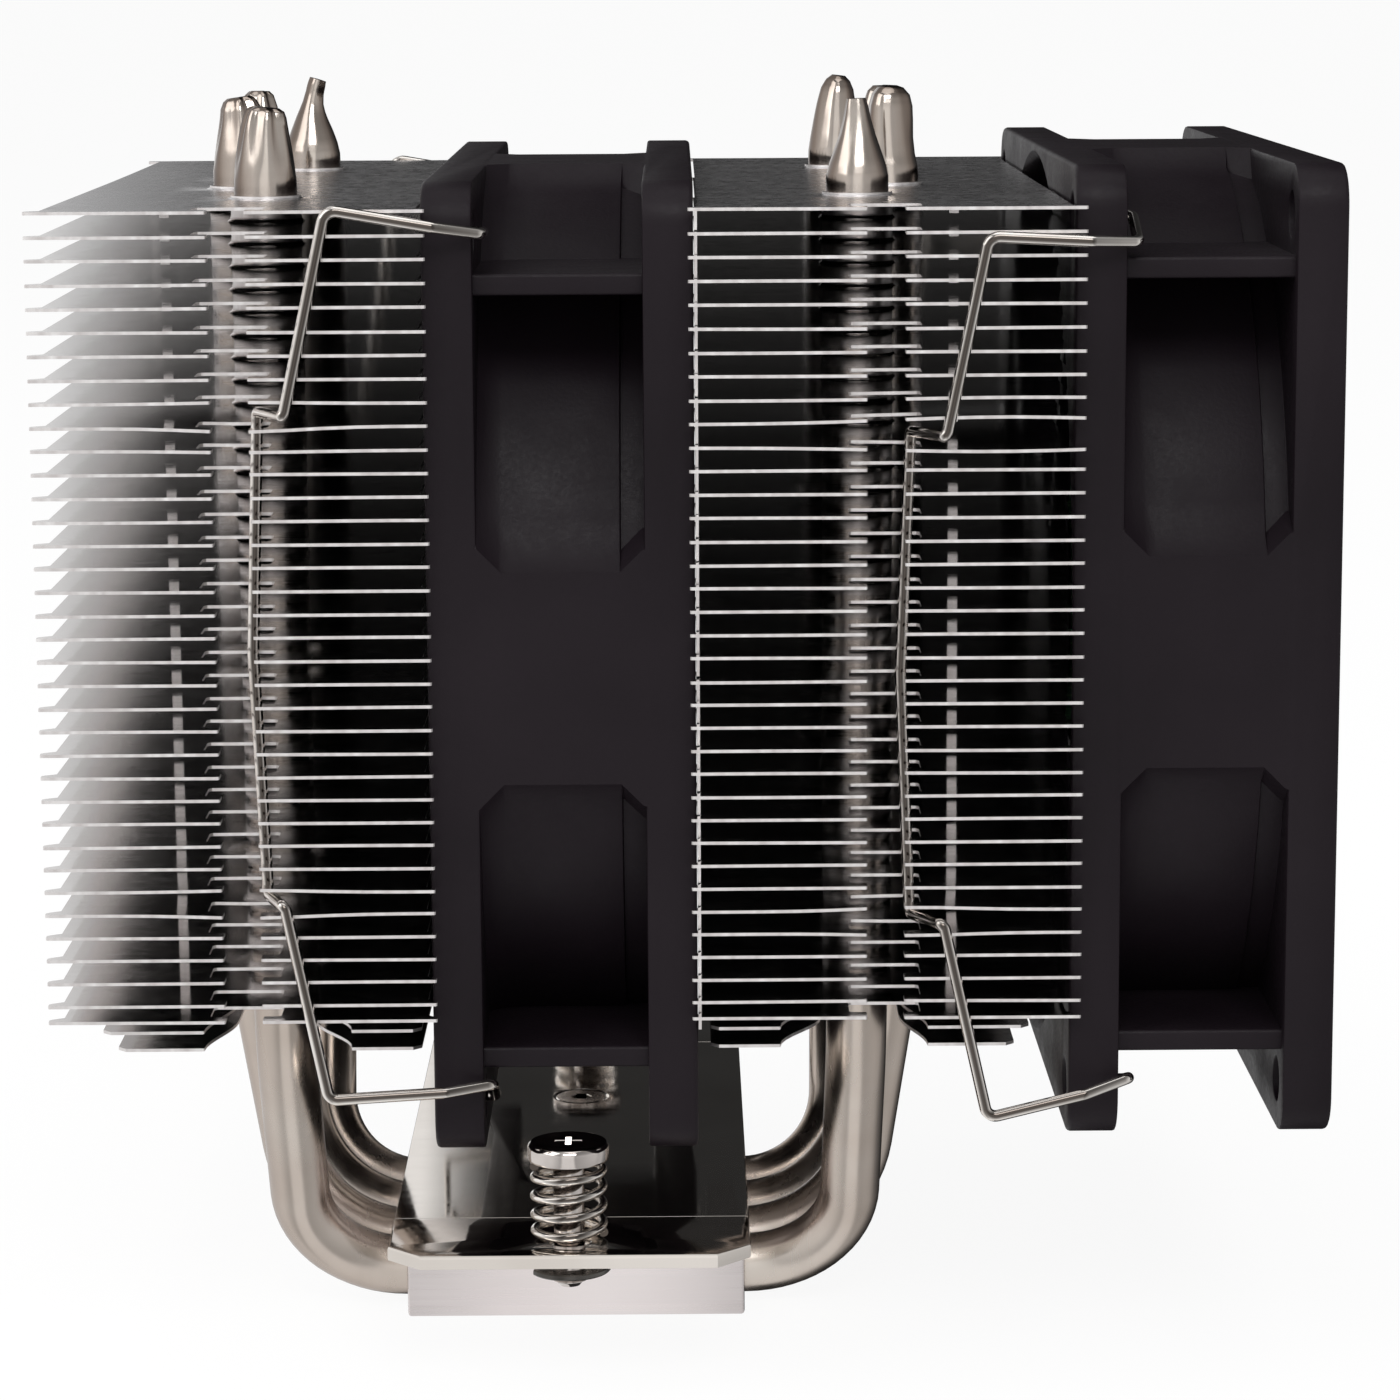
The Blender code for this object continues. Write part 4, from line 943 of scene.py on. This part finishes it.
def clip_pushes(side):
    """Where the clip presses fins up or down: (fin, lift, distance of x from 0, width)."""
    clip = CLIPS["middle" if side < 0 else "side"]
    enter, leave = clip["enter"][1], clip["leave"][1]
    at = abs(clip["slot"]) + 0.5
    wide = 7.0
    if side < 0:
        return [(enter, 0.12, at, wide), (enter + 1, -0.42, at, wide),
                (enter + 2, -0.12, at, wide), (leave, 0.18, at, wide),
                (leave + 1, -0.3, at, wide)]
    return [(enter, 0.55, at + 8, 14.0), (enter + 1, -0.5, at + 8, 14.0),
            (enter - 1, 0.1, at + 8, 10.0), (leave, 0.3, at, wide),
            (leave + 1, -0.25, at, wide)]


def bend(side, i, x, y, pushes):
    """Height a point of fin i is off the flat."""
    lift = 0.0
    for fin, amount, where, width in pushes:
        if fin == i:
            across = (abs(x) - where) / width
            inward = (FIN_Y - abs(y)) / 9.0
            lift += amount * math.exp(-across * across) * math.exp(-inward * inward)
    # every hand-fitted fin waves a little
    return lift + 0.09 * noise.noise(Vector((x * 0.035, y * 0.02, i * 7.31 + side * 3.0)))


def fin_plan(outline, pipes):
    """Flat layout of a fin: its points, and its triangles on the top and bottom faces."""
    loop = dense(outline, 3.0)
    holes_top = [circle(x, y, 3.75, COLLAR_SEGMENTS) for x, y in pipes]
    holes_bottom = [circle(x, y, 3.45, COLLAR_SEGMENTS) for x, y in pipes]
    x0, x1 = min(x for x, _ in outline), max(x for x, _ in outline)
    # inner grid, clear of pipes and edges, that lets the sheet bend
    extra = []
    for x in steps(x0 + 1.5, x1 - 1, 4.0):
        for y in steps(-46.0, 46.5, 4.6):
            clear = all(math.hypot(x - px, y - py) > 4.6 for px, py in pipes)
            edge = min(math.hypot(x - px, y - py) for px, py in loop)
            if clear and edge > 1.0 and inside((x, y), outline):
                extra.append((x, y))
    return (pipes, loop, holes_top, holes_bottom, extra,
            fill(loop, holes_top, extra), fill(loop, holes_bottom, extra))


# Drawn collar from the top rim of a fin's hole to its bottom rim: radius, height
COLLAR = ((3.5, 0.22), (3.38, 0.5), (3.36, 1.32), (3.25, 1.42), (3.08, 1.38), (3.06, 0.3),
          (3.2, -0.12))
TOP_COLLAR_SCALE = 0.22  # the top fin's collars are low


def add_collar(mesh, pipe, z, scale, rim_top, rim_bottom):
    rings = [rim_top]
    for radius, height in COLLAR:
        if height > 0:
            height *= scale
        rings.append([mesh.verts.new((x, y, z + height))
                      for x, y in circle(*pipe, radius, COLLAR_SEGMENTS)])
    rings.append(rim_bottom)
    for ring_a, ring_b in zip(rings, rings[1:]):
        band(mesh, ring_a, ring_b)


def make_fins(name, side, node):
    """One tower's fins. The towers are the same part, turned round."""
    first, second, third, fourth = [(side * leg_x, leg_y) for leg_x, leg_y, *_ in PIPES.values()]
    full = fin_plan(fin_outline(side), [second, third, first, fourth])
    fins = [(z, full) for z in FIN_LEVELS]
    fins += [(z, fin_plan(low_outline(side, *x_range), [second, third]))
             for z, x_range in zip(LOW_LEVELS, LOW_FINS)]
    pushes = clip_pushes(side)
    mesh = bmesh.new()
    for i, (z, plan) in enumerate(fins):
        pipes, loop, holes_top, holes_bottom, extra, triangles_top, triangles_bottom = plan

        def row(points, height):
            return [mesh.verts.new((x, y, z + height + bend(side, i, x, y, pushes)))
                    for x, y in points]
        top, bottom = row(loop, 0.0), row(loop, -SHEET)
        band(mesh, top, bottom)
        rims_top = [row(hole, 0.0) for hole in holes_top]
        rims_bottom = [row(hole, -SHEET) for hole in holes_bottom]
        extra_top, extra_bottom = row(extra, 0.0), row(extra, -SHEET)
        for outer, rims, inner, triangles in ((top, rims_top, extra_top, triangles_top),
                                              (bottom, rims_bottom, extra_bottom,
                                               triangles_bottom)):
            verts = outer + [vert for painted_reflection_mask in rims for vert in painted_reflection_mask] + inner
            for triangle in triangles:
                mesh.faces.new([verts[k] for k in triangle])
        for pipe, rim_top, rim_bottom in zip(pipes, rims_top, rims_bottom):
            add_collar(mesh, pipe, z, TOP_COLLAR_SCALE if i == 0 else 1.0, rim_top, rim_bottom)

        if i < FIN_FULL:
            # folded tab at the inner side that spaces the fins: offset from FIN_IN, height
            foot = -(z - fins[i + 1][0] - 0.02) + 0.02
            profile = [(0.15, 0.0), (-0.05, -0.02), (-0.22, -0.12), (-0.32, -0.3),
                       (-0.34, foot), (-0.06, foot), (-0.04, -0.42), (0.15, -SHEET)]
            ends = (-46.0, -40.5) if side > 0 else (40.5, 46.0)
            skin(mesh, [[mesh.verts.new((side * (FIN_IN + offset), y,
                                         z + height + bend(side, i, FIN_IN, y, pushes)))
                         for offset, height in profile] for y in ends])
        if i < FIN_FULL - 1:
            # small punched stiffening tabs behind the slots
            for s in (-1, 1):
                merge(mesh, box((side * 37.0 - 0.45, s * 36.0 - 0.15, z - 1.3),
                                (side * 37.0 + 0.45, s * 36.0 + 0.15, z - SHEET + 0.05)))
    piece(name, mesh, "aluminium_fin", node, sharp=30)


# -------------------------------------------------------------------- fans
# Barrel between the flanges: x, radius
BARREL = ((-8.4, 47.0), (-7.8, 46.95), (-7.3, 46.5), (-6.6, 46.15), (-5.8, 45.9),
          (-5.5, 45.85), (-4.6, 45.74), (-3.5, 45.7), (5.4, 45.7), (5.5, 45.66),
          (5.62, 45.2), (7.5, 45.2), (8.4, 45.2))


def barrel_section(radius, half_pad, count=15):
    """Circle with a pad on each of its four sides, flush with the frame."""
    painted_reflection_mask = FAN / 2
    foot = half_pad + 1.7
    foot_out = math.sqrt(radius * radius - foot * foot)
    start = math.atan2(foot, foot_out)
    quarter = [(foot_out, -foot), (painted_reflection_mask, -half_pad), (painted_reflection_mask, half_pad), (foot_out, foot)]
    for k in range(1, count):
        angle = start + (PI / 2 - 2 * start) * k / count
        quarter.append((min(radius * math.cos(angle), painted_reflection_mask), min(radius * math.sin(angle), painted_reflection_mask)))
    return [(u * cos - v * sin, u * sin + v * cos)
            for cos, sin in ((1, 0), (0, 1), (-1, 0), (0, -1)) for u, v in quarter]


def flange_mesh(levels):
    """Square flange with four corner holes; levels are (x, inset)."""
    half = FAN / 2
    lofted = []
    for x, inset in levels:
        holes = [circle(a * HOLE, b * HOLE, HOLE_R + inset * 0.8, 28)
                 for a in (-1, 1) for b in (-1, 1)]
        outer = rounded_rect(half - inset, half - inset, CORNER_R - inset, 8)
        lofted.append((x, outer, *holes))
    return loft(lofted, "X")


def motor_mount_mesh():
    """Disc with a raised rim, bearing tube and four struts, at the -X side."""
    back = -FAN_T / 2
    # radius, x
    mount = lathe([
        (0, back + 0.75), (15.8, back + 0.75), (16.1, back + 0.32), (HUB_R - 0.5, back + 0.3),
        (HUB_R - 0.12, back + 0.45), (HUB_R, back + 0.8), (HUB_R, back + 2.0),
        (HUB_R - 0.2, back + 2.2), (4.6, back + 2.2), (4.4, back + 2.5), (4.4, 3.7), (4.1, 4.0),
        (3.6, 4.0), (3.4, 3.8), (3.4, back + 2.2), (0, back + 2.2)], 72, "X")
    r0, r1 = HUB_R - 1.5, BORE_R + 1.0
    # strut: depth from the -X face, half width
    strut = ((0.5, 1.1), (0.75, 1.5), (1.0, 1.7), (2.2, 1.7), (2.5, 1.45))
    for k in range(4):
        angle = math.radians(45 + 90 * k)
        cos, sin = math.cos(angle), math.sin(angle)
        levels = [(back + depth, [(cos * r0 - sin * w, sin * r0 + cos * w),
                                  (cos * r0 + sin * w, sin * r0 - cos * w),
                                  (cos * r1 + sin * w, sin * r1 - cos * w),
                                  (cos * r1 - sin * w, sin * r1 + cos * w)])
                  for depth, w in strut]
        mount = boolean(mount, loft(levels, "X"), "UNION")
    return mount


def frame_mesh():
    """Fan frame: two flanges, barrel, ribs between the flanges, bore and motor mount."""
    half, end = FAN / 2, FAN_T / 2
    levels = [(-end, 0.42), (-end + 0.08, 0.2), (-end + 0.2, 0.08), (-end + 0.42, 0.0),
              (-end + FLANGE - 0.25, 0.0), (-end + FLANGE - 0.07, 0.07), (-end + FLANGE, 0.25)]
    mesh = boolean(flange_mesh(levels),
                   flange_mesh([(-x, inset) for x, inset in reversed(levels)]), "UNION")
    barrel = [(x, barrel_section(radius, min(10.0 + max(0.0, abs(x) - 5.5), 12.4)))
              for x, radius in BARREL]
    mesh = boolean(mesh, loft(barrel, "X"), "UNION")
    rib_x = end - FLANGE + 0.4
    for s in (-1, 1):
        rib = rounded_rect(half - RIB_INSET, RIB_T / 2, 0.35, 5, centre_y=s * RIB_AT)
        mesh = boolean(mesh, loft([(-rib_x, rib), (rib_x, rib)], "X"), "UNION")
    # half of the bore, from its -X end: radius, x
    flare = [(0, -end - 1), (45.3, -end - 1), (45.3, -end), (44.75, -end + 0.5),
             (44.35, -end + 1.2), (BORE_R, -end + 2.2)]
    bore = lathe(flare + [(radius, -x) for radius, x in reversed(flare)], 120, "X")
    mesh = boolean(mesh, bore, "DIFFERENCE")
    return boolean(mesh, motor_mount_mesh(), "UNION")


def blade_mesh(start_angle):
    """One blade, from inside the hub to its tip."""
    chord_steps, span_steps = 14, 9
    mesh = bmesh.new()
    rings = []
    for i in range(span_steps + 1):
        span = i / span_steps
        radius = (HUB_R - 0.5) + (BLADE_R - HUB_R + 0.5) * span
        chord = math.radians(36 - 6 * span)
        lean = math.radians(-12) * span * span
        lead_x, trail_x = 9.8 - 1.0 * span, -8.4 + 1.6 * span
        ring = []
        for face in (1, -1):
            for j in range(chord_steps + 1)[::face]:
                share = j / chord_steps
                bulge = math.sin(PI * min(1.0, share * 0.9 + 0.08)) ** 0.8
                thick = 1.5 * (0.35 + 0.65 * bulge) * (1 - 0.25 * span)
                if j in (0, chord_steps):
                    thick *= 0.45
                bow = 1.3 * math.sin(PI * share)
                offset = face * thick / 2
                x = lead_x + (trail_x - lead_x) * share
                angle = start_angle + lean + chord * (share - 0.5) + bow / radius
                angle += offset / radius * 0.8
                ring.append(mesh.verts.new((x + offset * 0.6, radius * math.cos(angle),
                                            radius * math.sin(angle))))
        rings.append(ring)
    for ring_a, ring_b in zip(rings, rings[1:]):
        band(mesh, ring_a, ring_b)
    for ring in (rings[0], rings[-1]):
        for j in range(chord_steps):
            mesh.faces.new([ring[j], ring[j + 1], ring[-2 - j], ring[-1 - j]])
    bmesh.ops.recalc_face_normals(mesh, faces=mesh.faces)
    return mesh


def impeller_mesh():
    """Cup-shaped hub, open to -X, with its blades."""
    # radius, x
    mesh = lathe([
        (0, 11.35), (12.6, 11.35), (13.0, 11.7), (HUB_R - 1.3, 11.7), (HUB_R - 0.6, 11.58),
        (HUB_R - 0.18, 11.2), (HUB_R, 10.6), (HUB_R, -9.1), (HUB_R - 0.2, -9.3), (17.4, -9.3),
        (17.3, -9.1), (17.3, 10.2), (3.4, 10.2), (3.4, 6.2), (3.2, 6.0), (1.8, 6.0), (1.8, 9.9),
        (0, 9.9)], 80, "X")
    for k in range(BLADES):
        mesh = boolean(mesh, blade_mesh(2 * PI * k / BLADES), "UNION")
    return mesh


def moved(mesh, x, z):
    copy = mesh.copy()
    bmesh.ops.translate(copy, vec=(x, 0, z), verts=copy.verts)
    return copy


def make_fans():
    housing, wheel = frame_mesh(), impeller_mesh()
    for tag, (x, z) in FANS.items():
        piece(tag + "_fan_housing", moved(housing, x, z), "black_plastic", tag + "_fan_frame",
              sharp=32)
        piece(tag + "_fan_wheel", moved(wheel, x, z), "rotor_plastic", tag + "_fan_impeller",
              sharp=35, body=tag + "_rotor")
    housing.free()
    wheel.free()


# ------------------------------------------------------------------- clips
def clip_path(tag, side):
    """Corners of a clip, from the fan's upper hole over the tower on its left to the lower
    hole. side is -1 at the front, 1 at the rear."""
    fan_x, fan_z = FANS[tag]
    clip = CLIPS[tag]
    face_x = fan_x - FAN_T / 2
    hook_x = face_x + FLANGE + WIRE_R + 0.35
    y_fan = FAN / 2 + WIRE_R + 0.35
    y_out = FIN_Y + WIRE_R + 0.45
    y_slot = FIN_Y - SLOT_DEPTH + WIRE_R + 1.1
    upper, lower = fan_z + HOLE, fan_z - HOLE
    edge_x = face_x + 1.2
    (top_x, top_z), (bottom_x, bottom_z) = clip["top"], clip["bottom"]
    (enter_x, enter_gap), (leave_x, leave_gap) = clip["enter"], clip["leave"]
    enter_z, leave_z = gap_level(enter_gap), gap_level(leave_gap)
    flange_top, flange_bottom = clip["flange"]
    slot_x = clip["slot"]

    def edge_z(x, z, flange_z):
        """Height at the fan's edge on the line from the hook to a corner x, z."""
        return flange_z + (z - flange_z) * (edge_x - hook_x) / (x - hook_x)
    points = [
        (hook_x - 2.5, HOLE, upper), (hook_x, HOLE, upper), (hook_x, y_fan, flange_top),
        (edge_x, y_out, edge_z(top_x, top_z, flange_top)), (top_x, y_out, top_z),
        (enter_x, y_out, enter_z + 0.4), (enter_x - 0.3, y_out, enter_z),
        (slot_x + 0.45, y_slot, enter_z), (slot_x - 0.45, y_slot, (enter_z + leave_z) / 2),
        (slot_x + 0.45, y_slot, leave_z), (leave_x - 0.3, y_out, leave_z),
        (leave_x, y_out, leave_z - 0.4), (bottom_x, y_out, bottom_z),
        (edge_x, y_out, edge_z(bottom_x, bottom_z, flange_bottom)),
        (hook_x, y_fan, flange_bottom), (hook_x, HOLE, lower), (hook_x - 2.5, HOLE, lower)]
    return [(x, side * y, z) for x, y, z in points]


def make_clip(tag, where, side):
    path = fillet(clip_path(tag, side), CLIP_BENDS, 8)
    # softened cut ends
    first = path[0] + (path[1] - path[0]).normalized() * 0.12
    last = path[-1] + (path[-2] - path[-1]).normalized() * 0.12
    path = [path[0], first, *path[1:-1], last, path[-1]]
    end_r = WIRE_R * 0.75
    radii = [end_r] + [WIRE_R] * (len(path) - 2) + [end_r]
    piece(f"{tag}_wire_clip_{where}", sweep(path, radii, 16), "bright_steel",
          f"{tag}_clip_{where}", sharp=50, body=f"{tag}_clip_{where}_body")


# ---------------------------------------------- CAD pieces kept as they are
KEPT = {"rotor_yoke": "stator_steel", "magnet_ring": "ferrite", "shaft": "bright_steel",
        "lock_ring": "bright_steel", "bearing": "sintered_bronze",
        "stator_core": "stator_steel", "stator_winding": "winding_copper",
        "circuit_board": "circuit_board"}


def dress_kept():
    """Materials and softened edges for the motor parts."""
    for tag in FANS:
        for part, material in KEPT.items():
            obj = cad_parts[f"{tag}_fan_{part}"]
            obj.data.materials.clear()
            obj.data.materials.append(MATERIALS[material])
            edge = obj.modifiers.new("edge", "BEVEL")
            edge.width = 0.00008
            edge.segments = 1
            edge.limit_method = "ANGLE"
            edge.angle_limit = math.radians(50)


# ------------------------------------------------------------------ studio
def room(nodes, direction):
    """Soft light by direction: front and sides light, dark straight behind the cooler.
    Shared by the world and by what the floor mirrors."""
    whole = (-1.0, 1.0)
    x, y, z = nodes.separate(direction)
    front = nodes.grey_ramp(nodes.span(x, source=whole), stops=[
        (0.0, 1.0), (0.15, 0.9), (0.33, 0.55), (0.38, 1.0), (0.62, 1.0), (0.67, 0.5),
        (0.85, 0.62), (1.0, 0.75)])
    # sideways slope of directions to the back, kept from dividing by zero
    slant = nodes.math("DIVIDE", x, nodes.math("MAXIMUM", y, 0.02))
    left = nodes.grey_ramp(nodes.span(slant, source=(-0.165, -0.095)), stops=[
        (0.0, 1.0), (0.3, 0.62), (0.6, 0.26), (1.0, 0.03)])
    right = nodes.grey_ramp(nodes.span(slant, source=(0.5, 3.0)), stops=[(0.0, 0.0), (1.0, 0.6)])
    back = nodes.mix(1.0, left, right, mode="ADD")
    around = nodes.mix(nodes.span(y, source=(-0.12, 0.05)), front, back)
    height = nodes.grey_ramp(nodes.span(z, source=whole), stops=[
        (0.5, 1.0), (0.62, 0.95), (0.8, 0.6), (1.0, 0.5)])
    return nodes.mix(1.0, around, height, mode="MULTIPLY")


def floor_paint():
    """White floor that glows a little."""
    material = bpy.data.materials.new("floor_paint")
    material.use_nodes = True
    nodes = Nodes(material.node_tree)
    paint = nodes.tree.nodes["Principled BSDF"]
    for key, value in {"Base Color": (0.86, 0.86, 0.86), "Roughness": 0.85,
                       "Specular IOR Level": 0.0, "Emission Color": (1, 1, 1),
                       "Emission Strength": 0.3}.items():
        nodes.feed(value, paint.inputs[key])
    # what the camera sees of it is mostly an even white, with a faint shadow left
    white_share = 0.88
    glow = nodes.node("Emission", {"Color": (1, 1, 1), "Strength": 1.0}).outputs[0]
    rays = nodes.node("LightPath").outputs
    seen = nodes.mix_shader(nodes.times(rays["Is Camera Ray"], white_share),
                            paint.outputs[0], glow)
    # what polished metal mirrors of it follows the room's light
    incoming = nodes.node("NewGeometry").outputs["Incoming"]
    outward = nodes.node("VectorMath", {0: incoming, "Scale": -1.0}, operation="SCALE").outputs[0]
    glare = nodes.node("Emission", {"Color": room(nodes, outward), "Strength": 0.9}).outputs[0]
    surface = nodes.mix_shader(rays["Is Glossy Ray"], seen, glare)
    nodes.feed(surface, nodes.tree.nodes["Material Output"].inputs["Surface"])
    return material


def make_floor():
    half, drop = 30.0, 0.00005  # metres
    data = bpy.data.meshes.new("floor")
    corners = [(-half, -half, 0), (half, -half, 0), (half, half, 0), (-half, half, 0)]
    data.from_pydata(corners, [], [(0, 1, 2, 3)])
    floor = bpy.data.objects.new("floor", data)
    floor.location.z = -drop
    bpy.context.scene.collection.objects.link(floor)
    data.materials.append(floor_paint())


def make_world():
    """The room's light, white where the camera looks straight at it."""
    world = bpy.data.worlds.new("studio")
    bpy.context.scene.world = world
    world.use_nodes = True
    nodes = Nodes(world.node_tree)
    nodes.tree.nodes.clear()
    direction = nodes.node("TexCoord").outputs["Generated"]
    light = nodes.node("Background", {"Color": room(nodes, direction), "Strength": 1.0})
    white = nodes.node("Background", {"Color": (1, 1, 1), "Strength": 1.0})
    seen = nodes.node("LightPath").outputs["Is Camera Ray"]
    surface = nodes.mix_shader(seen, light.outputs[0], white.outputs[0])
    nodes.node("OutputWorld", {"Surface": surface})


def softbox(name, place, target, size, power):
    """Rectangular light; metres and watts."""
    light = bpy.data.lights.new(name, "AREA")
    light.shape = "RECTANGLE"
    light.size, light.size_y = size
    light.energy = power
    obj = bpy.data.objects.new(name, light)
    obj.location = place
    aim = Vector(target) - Vector(place)
    obj.rotation_euler = aim.to_track_quat("-Z", "Y").to_euler()
    bpy.context.scene.collection.objects.link(obj)


def make_camera():
    """Looks along +Y, a little down. Angles in radians, place in metres."""
    pitch, yaw, roll = -0.17351, -0.00503, 0.006
    turn = (Matrix.Rotation(yaw, 3, "Z") @ Matrix.Rotation(pitch, 3, "X")
            @ Matrix.Rotation(roll, 3, "Y"))
    right, ahead, up = turn.col
    matrix = Matrix((right, up, -ahead)).transposed().to_4x4()
    matrix.translation = (0.010907, -0.436458, 0.136897)
    camera = bpy.data.cameras.new("camera")
    camera.lens = 109.36
    camera.sensor_width = 36.0
    camera.clip_start = 0.01
    camera.clip_end = 100.0
    obj = bpy.data.objects.new("camera", camera)
    obj.matrix_world = matrix
    bpy.context.scene.collection.objects.link(obj)
    bpy.context.scene.camera = obj


# --------------------------------------------------------------- the scene
ENDS = (("front", -1), ("rear", 1))

for make_material in (aluminium_fin, nickel_satin, nickel_plate, nickel_block, bright_steel,
                      dark_steel, black_steel, black_plastic, rotor_plastic, stator_steel,
                      winding_copper, ferrite, sintered_bronze, circuit_board):
    make_material()

make_block()
make_cover()
make_bridge()
for where, side in ENDS:
    make_plate_screw("plate_screw_" + where, side * PLATE_SCREW_Y)
for where, side in ENDS:
    make_spring_bolt(where, side * SCREW_Y)
    make_spring(where, side * SCREW_Y)
    make_snap_ring(where, side * SCREW_Y)
for pipe_name in PIPES:
    make_pipe(pipe_name)
make_fins("left_fins", -1, "left_fin_stack")
make_fins("right_fins", 1, "right_fin_stack")
make_fans()
for tag in FANS:
    for where, side in ENDS:
        make_clip(tag, where, side)
dress_kept()

make_floor()
make_world()
softbox("key_softbox", place=(-0.9, -0.5, 0.9), target=(0, 0, 0.07), size=(0.9, 0.9), power=5)
softbox("top_softbox", place=(0.1, -0.1, 1.3), target=(0, 0, 0.05), size=(0.9, 0.9), power=3)
softbox("front_softbox", place=(0.1, -1.0, 0.95), target=(0, 0, 0.07), size=(0.7, 0.45), power=6)
make_camera()
view = bpy.context.scene.view_settings
view.view_transform = "Standard"
view.look = "None"
view.exposure = 0.0
view.gamma = 1.0
